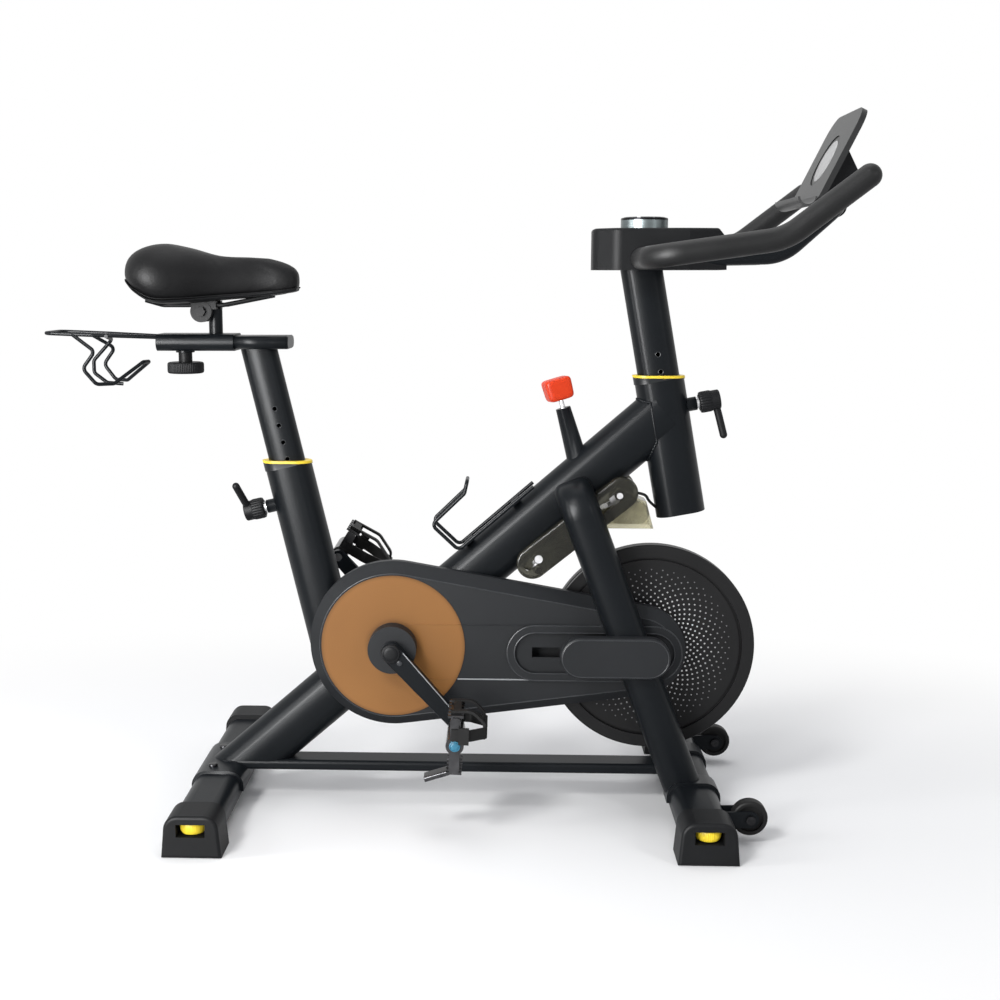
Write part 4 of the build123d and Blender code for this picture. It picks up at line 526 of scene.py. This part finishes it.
def turned(centre, axis, radius, along, sides=48, lobes=0, depth=0.0):
    """Profile turned about an axis: radius + depth * sqrt(abs(cos(lobes * a / 2))), steps along the axis."""
    axis = np.asarray(axis, float)
    side = np.array([0.0, 1.0, 0.0]) if abs(axis[1]) < 0.9 else np.array([1.0, 0.0, 0.0])
    other = np.cross(axis, side)
    a = np.linspace(0, 2 * pi, sides, endpoint=False)[None, :, None]
    wave = depth * np.sqrt(np.abs(np.cos(lobes * a / 2)))
    r = np.asarray(radius, float)[:, None, None] + wave
    points = centre + np.asarray(along, float)[:, None, None] * axis + r * (np.cos(a) * side + np.sin(a) * other)
    return points, grid_faces(len(along), sides)


def smooth_through(t, knots, values):
    """Smooth curve through values at knots: cubic pieces whose slopes are central differences."""
    knots, values = np.asarray(knots, float), np.asarray(values, float)
    slopes = np.gradient(values, knots)
    k = np.clip(np.searchsorted(knots, t) - 1, 0, len(knots) - 2)
    h = knots[k + 1] - knots[k]
    s = (t - knots[k]) / h
    a, b, m, n = values[k], values[k + 1], slopes[k] * h, slopes[k + 1] * h
    return (2 * s**3 - 3 * s**2 + 1) * a + (s**3 - 2 * s**2 + s) * m + (3 * s**2 - 2 * s**3) * b + (s**3 - s**2) * n


SADDLE_X = (-0.503, -0.495, -0.477, -0.451, -0.407, -0.358, -0.303, -0.252, -0.233, -0.228)
SADDLE_HALF = (0.026, 0.063, 0.087, 0.095, 0.085, 0.054, 0.036, 0.0285, 0.020, 0.008)
SADDLE_TOP = (0.882, 0.899, 0.910, 0.915, 0.908, 0.895, 0.892, 0.887, 0.878, 0.866)
SADDLE_SIDE = (0.868, 0.868, 0.867, 0.864, 0.861, 0.860, 0.860, 0.860, 0.859, 0.857)
SADDLE_LOW = (0.862, 0.856, 0.842, 0.8285, 0.8280, 0.832, 0.8365, 0.842, 0.846, 0.852)
SADDLE_VOXEL = 0.005
SADDLE_PRESSURE = 4.0
SWELL_FRAMES = 20
SWELL_REACH = 0.004


def saddle_section(t, a, width=1.0, floor=False):
    """Saddle skin at length t and angle a: a rounded box whose width and heights follow the length.

    Across goes as the cosine to the power 0.7 above the widest line and 0.24 below it, where the sides pull in by 8%.
    Heights go as the sine to the power 1.15 above it and 0.8 below. The floor is the same form flattened to a thin
    shell about the skirt's lower edge.
    """
    x = SADDLE_X[0] + (0.5 - 0.5 * np.cos(pi * t)) * (SADDLE_X[-1] - SADDLE_X[0])
    share = (np.array(SADDLE_X) - SADDLE_X[0]) / (SADDLE_X[-1] - SADDLE_X[0])
    knots = np.arccos(1 - 2 * share) / pi
    half, top, side, low = (smooth_through(t, knots, v) for v in (SADDLE_HALF, SADDLE_TOP, SADDLE_SIDE, SADDLE_LOW))
    if floor:
        top, side, low = low + 0.004, low + 0.002, low - 0.003
    up = np.sin(a)
    across = np.sign(np.cos(a)) * np.abs(np.cos(a)) ** np.where(up < 0, 0.24, 0.7)
    y = width * half * across * np.where(up < 0, 1 - 0.08 * up**2, 1.0)
    crown = (top - side) * np.abs(up) ** 1.15
    skirt = (low - side) * np.abs(up) ** 0.8
    z = side + np.where(up > 0, crown, skirt)
    return np.stack(np.broadcast_arrays(x, y, z), -1)


def swell(form, finish, reach):
    """Makes a form padded: remeshed, swelled by cloth pressure, its moves capped to a reach, then subdivided."""
    remesh = form.modifiers.new("even_skin", "REMESH")
    remesh.mode = "VOXEL"
    remesh.voxel_size = SADDLE_VOXEL
    graph = bpy.context.evaluated_depsgraph_get()
    mesh = bpy.data.meshes.new_from_object(form.evaluated_get(graph))
    form.modifiers.clear()
    old = form.data
    form.data = mesh
    bpy.data.meshes.remove(old)
    count = len(mesh.vertices)
    rest = np.empty(count * 3)
    mesh.vertices.foreach_get("co", rest)
    moved = rest.copy()
    cloth = form.modifiers.new("cover", "CLOTH")
    cloth.settings.use_pressure = True
    cloth.settings.uniform_pressure_force = SADDLE_PRESSURE
    cloth.settings.effector_weights.gravity = 0.0
    for tick in range(1, SWELL_FRAMES + 1):
        bpy.context.scene.frame_set(tick)
    graph = bpy.context.evaluated_depsgraph_get()
    form.evaluated_get(graph).data.vertices.foreach_get("co", moved)
    form.modifiers.clear()
    bpy.context.scene.frame_set(1)
    step = (moved - rest).reshape(-1, 3)
    far = np.linalg.norm(step, axis=1, keepdims=True)
    capped = rest.reshape(-1, 3) + step * np.minimum(1.0, reach / np.maximum(far, 1e-9))
    mesh.vertices.foreach_set("co", capped.ravel())
    mesh.polygons.foreach_set("use_smooth", np.full(len(mesh.polygons), True))
    mesh.update()
    mesh.materials.clear()
    mesh.materials.append(finish)
    smooth = form.modifiers.new("smooth_cover", "SUBSURF")
    smooth.levels = smooth.render_levels = 1


def saddle():
    """Padded saddle in place of its CAD cushion, its moulded base, and a piped seam along each lower edge."""
    rows, columns = 72, 96
    t = np.linspace(0, 1, rows)[:, None]
    a = np.linspace(0, 2 * pi, columns, endpoint=False)[None, :]
    faces = grid_faces(rows, columns)
    form = add_mesh("saddle_padding", saddle_section(t, a), faces, LEATHER, "saddle")
    swell(form, LEATHER, SWELL_REACH)
    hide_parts("saddle_cushion")
    shell = saddle_section(0.06 + 0.86 * t, a, 0.9, True)
    base = add_mesh("saddle_base", shell, faces, CAPS, "saddle")
    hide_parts("saddle_pan")
    run = np.linspace(0.16, 0.93, 160)
    below, out, radius = 0.98, 0.0016, 0.0012
    for angle, name in ((-below, "left"), (pi + below, "right")):
        path = saddle_section(run, angle)
        path[:, 1] += np.sign(path[:, 1]) * out
        points, faces = tube(path, radius, (0, 1, 0), 8)
        add_mesh(f"saddle_seam_{name}", points, faces, LEATHER, "saddle")


def sensor_lead():
    """Short black lead: one smooth spline from the right brake cover to the head tube."""
    line = bpy.data.curves.new("sensor_lead_cord", "CURVE")
    line.dimensions = "3D"
    line.bevel_depth = 0.0023
    line.bevel_resolution = 4
    line.use_fill_caps = True
    spline = line.splines.new("NURBS")
    route = ((0.3121, -0.034, 0.524), (0.3261, -0.034, 0.523), (0.334, -0.014, 0.506), (0.352, 0.0, 0.492))
    spline.points.add(len(route) - 1)
    spline.points.foreach_set("co", np.hstack([route, np.ones((len(route), 1))]).ravel())
    spline.order_u = 3
    spline.use_endpoint_u = True
    spline.resolution_u = 16
    line.materials.append(RUBBER)
    cord = bpy.data.objects.new("sensor_lead_cord", line)
    bpy.context.scene.collection.objects.link(cord)
    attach(cord, "frame")
    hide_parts("sensor_lead")


def pedal_caps():
    """Blue end caps of the pedals: a low dome turned about the pedal axle, with a ring groove."""
    radius = np.array([0.0086, 0.0088, 0.0084, 0.0070, 0.0066, 0.0060, 0.0040, 0.0004])
    rise = np.array([-0.0015, 0.0008, 0.0018, 0.0022, 0.0016, 0.0024, 0.0028, 0.0030])
    for side, name in ((1, "right"), (-1, "left")):
        reach = side * CRANK_LENGTH
        end = CRANK_AXIS + (reach * cos(CRANK_ANGLE), -side * PEDAL_END, reach * sin(CRANK_ANGLE))
        points, faces = turned(end, (0, -side, 0), radius, rise, 40)
        add_mesh(f"pedal_cap_{name}", points, faces, BLUE, f"{name}_pedal")


def knob_and_lever_ribs():
    """Fluted skirts: a lobed band round the slider knob and round each clamp lever's hub."""
    edge = np.array([-0.0006, 0.0, 0.0004, 0.0004, 0.0, -0.0006])
    steps = (0.001, 0.002, 0.004, 0.014, 0.016, 0.017)
    points, faces = turned(SLIDER_KNOB, (0, 0, 1), 0.0283 + edge, steps, 360, 60, 0.0006)
    add_mesh("slider_knob_flutes", points, faces, CAPS, "slider_knob")
    seat_out = (-cos(SEAT_LEAN), 0, -sin(SEAT_LEAN))
    head_out = (cos(HEAD_LEAN), 0, sin(HEAD_LEAN))
    steps = (0.0185, 0.020, 0.022, 0.034, 0.036, 0.0375)
    for place, out, name in ((SEAT_LOCK, seat_out, "seat"), (HEAD_LOCK, head_out, "post")):
        points, faces = turned(place, out, 0.016 + edge, steps, 240, 20, 0.0009)
        add_mesh(f"{name}_lever_ribs", points, faces, CAPS, f"{name}_lever")


def stadium(x0, x1, z, tall, depth, count=240):
    """Stadium loop in X and Z: two half circles joined by straight runs, at equal steps of its length."""
    r = tall / 2
    straight = x1 - x0 - tall
    s = np.linspace(0, 2 * straight + 2 * pi * r, count, endpoint=False)
    half = straight + pi * r
    t = s % half
    way = np.where(s < half, 1.0, -1.0)
    a = np.clip((t - straight) / r, 0, pi)
    x = np.minimum(t, straight) - straight / 2 + r * np.sin(a)
    height = r * np.cos(a)
    return np.stack([(x0 + x1) / 2 + way * x, np.full(count, depth), z + way * height], -1)


def belt_outline(big, small, depth, count=160):
    """Loop round two circles, one on the crank axis: an arc of each, joined by their outer tangents."""
    tip = GUARD_TIP
    hub = CRANK_AXIS[[0, 2]]
    line = tip - hub
    turn = np.arctan2(line[1], line[0])
    open_angle = np.arccos((big - small) / np.hypot(*line))
    a = np.linspace(open_angle, 2 * pi - open_angle, count) + turn
    b = np.linspace(-open_angle, open_angle, count // 2) + turn
    large = hub + big * np.stack([np.cos(a), np.sin(a)], -1)
    little = tip + small * np.stack([np.cos(b), np.sin(b)], -1)
    flat = np.vstack([large, little])
    return np.stack([flat[:, 0], np.full(len(flat), depth), flat[:, 1]], -1)


def guard_lines():
    """Fine beads on the guard: bevel crease, both edges of the stadium ring, cover rim and two run-out lines. The
    beads and the lower line on the guard are lighter than the guard: painted highlights.
    """
    loops = (
        ("guard_bevel_bead", belt_outline(0.119, 0.058, GUARD_FACE), 0.0010),
        ("ring_outer_bead", stadium(0.1065, 0.3875, 0.265, 0.091, -0.0595), 0.0012),
        ("ring_inner_bead", stadium(0.118, 0.376, 0.265, 0.068, -0.0598), 0.0010),
        ("cover_rim_bead", stadium(0.1935, 0.3605, 0.270, 0.060, -0.1088), 0.0008),
    )
    for name, path, radius in loops:
        points, faces = tube(path, radius, (0, 1, 0), 8, True)
        # the grey trim colour on these beads is a painted highlight along the guard's edges
        add_mesh(name, points, faces, GREY_TRIM_AND_HIGHLIGHT, "frame")
    lines = (
        ("upper_line_on_disc", -0.060, 0.031, 0.3105, -0.0570, 0.0008, DISC),
        ("upper_line_on_guard", 0.034, 0.155, 0.3105, -0.0562, 0.0010, GUARD),
        ("lower_line_on_disc", -0.020, 0.022, 0.2195, -0.0570, 0.0009, DISC),
        # the lower line on the guard is near white: a painted highlight
        ("lower_line_on_guard", 0.026, 0.155, 0.2195, -0.0564, 0.0012, PAINTED_HIGHLIGHT),
    )
    for name, start, stop, height, depth, radius, finish in lines:
        path = np.linspace((start, depth, height), (stop, depth, height), 40)
        points, faces = tube(path, radius, (0, 1, 0), 8)
        add_mesh(name, points, faces, finish, "frame")


def crank_trim():
    """Round hub caps, pinch bolts and an edge bead along the upper edge of each crank arm, near white as a painted
    highlight.
    """
    radius = np.array([0.0150, 0.0152, 0.0144, 0.0120, 0.0115, 0.0108, 0.0060, 0.0004])
    rise = np.array([-0.0010, 0.0020, 0.0034, 0.0038, 0.0032, 0.0038, 0.0042, 0.0044])
    arm_face, bolt_out = 0.104, 0.021
    for side, name in ((1, "right"), (-1, "left")):
        face = np.array([0, -side * arm_face, 0])
        points, faces = turned(CRANK_AXIS + face, (0, -side, 0), radius, rise, 48)
        add_mesh(f"crank_cap_{name}", points, faces, CAPS, "crank")
        way = side * np.array([cos(CRANK_ANGLE), 0, sin(CRANK_ANGLE)])
        over = np.array([-way[2], 0, way[0]])
        bolt = CRANK_AXIS + face + bolt_out * way
        points, faces = turned(bolt, (0, -side, 0), 0.28 * radius, 0.6 * rise, 24)
        add_mesh(f"crank_bolt_{name}", points, faces, GREY_TRIM_AND_HIGHLIGHT, "crank")
        t = np.linspace(0.012, 0.148, 60)[:, None]
        edge = CRANK_AXIS + face + t * way + (0.0154 - 0.0046 * t / CRANK_LENGTH) * over
        points, faces = tube(edge, 0.0009, (0, 1, 0), 8)
        # the edge bead is near white: a painted highlight along the arm's upper edge
        add_mesh(f"crank_edge_{name}", points, faces, PAINTED_HIGHLIGHT, "crank")


def level_wheels():
    """Yellow levelling wheels in the cap windows: a ribbed disc with a flat top turned on its stud."""
    radius = np.array([0.0046, 0.0050, 0.0050, 0.0120, 0.0168, 0.0190, 0.0190, 0.0182, 0.0120, 0.0004])
    rise = np.array([0.0030, 0.0034, 0.0346, 0.0349, 0.0366, 0.0410, 0.0506, 0.0520, 0.0521, 0.0521])
    for x, place in LEVEL_X:
        for side, name in ((-1, "right"), (1, "left")):
            foot = np.array([x, side * LEVEL_OUT, 0.0])
            points, faces = turned(foot, (0, 0, 1), radius, rise, 160, 40, 0.0004)
            body = f"level_{place}_{name}"
            wheel = add_mesh(f"levelling_{place}_{name}", points, faces, YELLOW, body)
            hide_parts(f"level_wheel_{place}_{name}")


def oval(length, width, a):
    """Flat-oval loop by angle: a half circle at each end of a straight run."""
    r = width / 2
    return np.sign(np.cos(a)) * (length / 2 - r) + r * np.cos(a), r * np.sin(a)


def post_bands():
    """Level bands on the tube mouths: flat-oval rings about a leaning axis, cut level on top, down to the rim."""
    a = np.linspace(0, 2 * pi, 96, endpoint=False) + 0.01
    half, bulge = 0.0018, 1.012
    places = (
        ("seat", SEAT_TOP, SEAT_LEAN, (0.0788, 0.0488), (0.0592, 0.0292), SEAT_BAND),
        ("head", HEAD_TOP, HEAD_LEAN, (0.0818, 0.0488), (0.0672, 0.0342), HEAD_BAND),
    )
    for name, top, lean, outer, inner, level in places:
        side = np.array([cos(lean), 0, sin(lean)])
        along = np.array([-sin(lean), 0, cos(lean)])
        s, y = oval(*outer, a)
        t, v = oval(*inner, a)
        flat = (level - top[2] - s * side[2]) / along[2]
        over = (level - top[2] - t * side[2]) / along[2]
        foot = np.minimum(flat - 0.003, -0.0005)
        rows = (
            (s, y, foot), (s, y, flat - half), (bulge * s, bulge * y, flat), (s, y, flat + half),
            (t, v, over + half), (t, v, foot),
        )
        points = np.stack([
            top + p[:, None] * side + h[:, None] * along + q[:, None] * [0, 1, 0]
            for p, q, h in rows
        ])
        faces = grid_faces(len(rows), len(a), True)
        band = add_mesh(f"{name}_tube_band", points, faces, BAND, "frame")
        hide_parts("post_collars")


def hole_rims():
    """Rims inside the posts' index holes: a fine round bead on each hole's circle."""
    a = np.linspace(0, 2 * pi, 32, endpoint=False)
    pitch, forward, hole, bead = 0.028, 0.003, 0.0040, 0.0006
    rows = (
        ("seat", SEAT_TOP, SEAT_LEAN, 0.012, 4, 0.0140),
        ("handlebar", HEAD_TOP, HEAD_LEAN, 0.014, 2, 0.0165),
    )
    for body, top, lean, first, count, half in rows:
        side = np.array([cos(lean), 0, sin(lean)])
        along = np.array([-sin(lean), 0, cos(lean)])
        for i in range(count):
            middle = top + forward * side + (first + pitch * i) * along - [0, half - bead, 0]
            path = middle + hole * np.stack([np.cos(a), 0 * a, np.sin(a)], -1)
            points, faces = tube(path, bead, (0, 1, 0), 8, True)
            add_mesh(f"{body}_hole_rim_{i}", points, faces, GREY_TRIM_AND_HIGHLIGHT, body)


def brake_knob():
    """Red knob on the brake rod: a superellipsoid, signed cube roots of sines and cosines times half sizes."""
    rows, columns = 41, 96
    centre, tall, half = 0.0315, 0.018, 0.0215
    u = np.linspace(-1.553, 1.553, rows)[:, None]
    v = np.linspace(0, 2 * pi, columns, endpoint=False)[None, :] + 0 * u
    x, y, z = np.cbrt(np.cos(u) * np.cos(v)), np.cbrt(np.cos(u) * np.sin(v)), np.cbrt(np.sin(u) + 0 * v)
    up = np.array([-sin(ROD_LEAN), 0, cos(ROD_LEAN)])
    right = np.array([cos(ROD_LEAN), 0, sin(ROD_LEAN)])
    turn = radians(11.0)
    side = cos(turn) * right + sin(turn) * np.array([0, 1, 0])
    back = cos(turn) * np.array([0, 1, 0]) - sin(turn) * right
    flare = 1 + 0.04 * z
    points = ROD_TOP + (centre + tall * z)[..., None] * up
    points = points + half * (flare * x)[..., None] * side + half * (flare * y)[..., None] * back
    knob = add_mesh("brake_knob_grip", points, grid_faces(rows, columns), RED, "knob")
    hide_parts("tension_knob")


def tray_pad():
    """Oval pad in the tray's window: a flat disc with a rounded edge, by ring and angle."""
    a = np.linspace(0, 2 * pi, 96, endpoint=False)
    up = np.array([sin(TRAY_LEAN), 0, cos(TRAY_LEAN)])
    out = np.array([cos(TRAY_LEAN), 0, -sin(TRAY_LEAN)])
    tall, wide = 0.042, 0.046
    rows = (
        (0.02, 0.0012), (0.6, 0.0012), (0.97, 0.0014), (0.994, 0.0022),
        (0.994, 0.0045), (0.97, 0.0052), (0.02, 0.0052),
    )
    points = np.stack([
        TRAY_WINDOW + h * out + tall * k * np.sin(a)[:, None] * up + wide * k * np.cos(a)[:, None] * [0, 1, 0]
        for k, h in rows
    ])
    add_mesh("tray_window_pad", points, grid_faces(len(rows), len(a)), PAD, "tray")


def head_weld():
    """Weld bead: the main tube's flat-oval outline run forward on to the head tube's round back."""
    a = np.linspace(0, 2 * pi, 260, endpoint=False)
    straight, radius, reach, back = 0.01925, 0.024, 0.0225, 0.023
    rise = np.sign(np.sin(a)) * straight + radius * np.sin(a)
    y = np.clip(radius * np.cos(a), -reach, reach)
    along = np.array([cos(MAIN_ANGLE), 0, sin(MAIN_ANGLE)])
    over = np.array([-sin(MAIN_ANGLE), 0, cos(MAIN_ANGLE)])
    out = np.array([cos(HEAD_LEAN), 0, sin(HEAD_LEAN)])
    base = CRANK_AXIS + rise[:, None] * over
    target = -(HEAD_HALF - back) - np.sqrt(back**2 - y**2)
    run = (target - (base - HEAD_TOP) @ out) / (along @ out)
    path = base + run[:, None] * along
    path[:, 1] = y
    bead = 0.0021 * (1 + 0.16 * np.sin(52 * a))
    points, faces = tube(path, bead, out, 10, True)
    add_mesh("head_weld_bead", points, faces, PAINT, "frame")


def flywheel_dots():
    """Dots on both flywheel faces: shallow six-sided domes on rings, each ring turned half a step."""
    rings, per_ring, sides, dome = np.arange(13), 44, 6, 0.0005
    r = (0.36 + 0.40 * rings / rings[-1]) * WHEEL_RADIUS
    angle = (np.arange(per_ring)[None, :] + 0.5 * (rings[:, None] % 2)) * 2 * pi / per_ring
    size = (0.0022 - 0.0013 * (r / WHEEL_RADIUS))[:, None, None, None] * np.array([1.0, 0.7])[:, None]
    k = np.arange(sides)
    corner = k * 2 * pi / sides
    x = (r[:, None] * np.cos(angle))[..., None, None] + size * np.cos(corner)
    z = (r[:, None] * np.sin(angle))[..., None, None] + size * np.sin(corner)
    y = np.broadcast_to(np.array([0.0, dome])[:, None], x.shape)
    base = np.arange(len(rings) * per_ring)[:, None] * 2 * sides
    wall = np.stack([k, (k + 1) % sides, sides + (k + 1) % sides, sides + k], -1)
    walls = (base[:, :, None] + wall[None]).reshape(-1, 4)
    lids = base + sides + k[None]
    faces = walls.tolist() + lids.tolist()
    for side, name in ((-1, "right"), (1, "left")):
        points = np.stack([x + WHEEL_AXIS[0], side * (FACE_DEPTH + y), z + WHEEL_AXIS[2]], -1)
        add_mesh(f"flywheel_dots_{name}", points, faces, DOTS, "flywheel_set")


def pale_rays(tree):
    """1 for rays from the camera, off gloss or through glass, which see the pale background, and 0 for others."""
    path = tree.nodes.new("ShaderNodeLightPath")
    straight, mirrored, through = (
        Field(tree, path.outputs[f"Is {ray} Ray"]) for ray in ("Camera", "Glossy", "Transmission")
    )
    return straight.math("MAXIMUM", straight, straight.math("MAXIMUM", mirrored, through))


def pale_floor():
    """Plain floor that keeps the object's shadow and fades to white away from it."""
    f = Finish("pale_floor", Roughness=0.7, Specular_IOR_Level=0.1)
    f.colour(f.blend(f.noise(0.6, 2.0), (0.90, 0.90, 0.90), (0.92, 0.92, 0.92)))
    x, y = f.axis("X", f.placed(scale=(0.62, 1, 1))), f.axis("Y")
    far = ((x * x + y * y) ** 0.5).above(0.75, 0.9)
    white = f.node("ShaderNodeEmission", Strength=1.0)
    mix = f.node("ShaderNodeMixShader", Fac=far * pale_rays(f.tree))
    f.tree.links.new(f.shader.outputs[0], mix.inputs[1])
    f.tree.links.new(white.outputs[0], mix.inputs[2])
    f.tree.links.new(mix.outputs[0], f.tree.nodes["Material Output"].inputs["Surface"])
    corners = ((-9, -4, 0), (9, -4, 0), (9, 12, 0), (-9, 12, 0))
    floor = add_mesh("floor", corners, [[0, 1, 2, 3]], f.material)


def pale_world():
    """Soft light from all sides, in front of a white background."""
    world = bpy.data.worlds.new("pale_studio")
    bpy.context.scene.world = world
    world.use_nodes = True
    tree = world.node_tree
    soft = tree.nodes["Background"]
    white = tree.nodes.new("ShaderNodeBackground")
    for shade, colour, strength in ((soft, (0.92, 0.94, 1.0, 1), 0.37), (white, (1, 1, 1, 1), 1.0)):
        shade.inputs["Color"].default_value = colour
        shade.inputs["Strength"].default_value = strength
    mix = tree.nodes.new("ShaderNodeMixShader")
    tree.links.new(pale_rays(tree).socket, mix.inputs[0])
    tree.links.new(soft.outputs[0], mix.inputs[1])
    tree.links.new(white.outputs[0], mix.inputs[2])
    tree.links.new(mix.outputs[0], tree.nodes["World Output"].inputs["Surface"])


# Name, place, aim, width and height, watts
LAMPS = (
    ("key", (-1.7, -2.3, 3.0), (0, 0, 0.5), (0.9, 0.9), 70),
    ("strip", (-0.95, -2.40, 0.80), (0, 0, 0.6), (0.22, 1.5), 20),
    ("sheen", (-1.40, -2.15, 0.95), (0, 0, 0.6), (0.90, 1.8), 330),
    ("fill", (2.6, -2.2, 1.8), (0, 0, 0.5), (0.5, 0.9), 18),
    ("top", (0.1, 0.4, 3.2), (0, 0, 0.3), (2.2, 2.2), 34),
    ("side", (-3.0, -0.9, 1.3), (0, 0, 0.5), (0.5, 1.8), 30),
)


def lamps():
    """Soft boxes; the sheen lamp left of the camera shows in reflections only."""
    for name, place, aim, size, power in LAMPS:
        lamp = bpy.data.lights.new(name, "AREA")
        lamp.shape = "RECTANGLE"
        lamp.size, lamp.size_y = size
        lamp.energy = power
        holder = bpy.data.objects.new(name, lamp)
        bpy.context.scene.collection.objects.link(holder)
        holder.visible_diffuse = name != "sheen"
        holder.location = place
        holder.rotation_euler = (Vector(aim) - Vector(place)).to_track_quat("-Z", "Y").to_euler()


def camera():
    """Camera fitted to the photograph: near level on the right side, turned a little to the rear."""
    lens = bpy.data.cameras.new("photo_camera")
    lens.sensor_width = 36.0
    lens.lens = 1.370 * lens.sensor_width
    lens.shift_x = 0.051
    holder = bpy.data.objects.new("photo_camera", lens)
    bpy.context.scene.collection.objects.link(holder)
    holder.location = (0.091, -2.21, 0.862)
    holder.rotation_euler = (radians(90 - 9.16), 0, radians(2.1))
    bpy.context.scene.camera = holder


dress_solids()
sensor_lead()
saddle()
flywheel_dots()
pedal_caps()
knob_and_lever_ribs()
guard_lines()
crank_trim()
level_wheels()
post_bands()
hole_rims()
brake_knob()
tray_pad()
head_weld()
pale_floor()
pale_world()
lamps()
camera()
bpy.context.scene.view_settings.view_transform = "Standard"
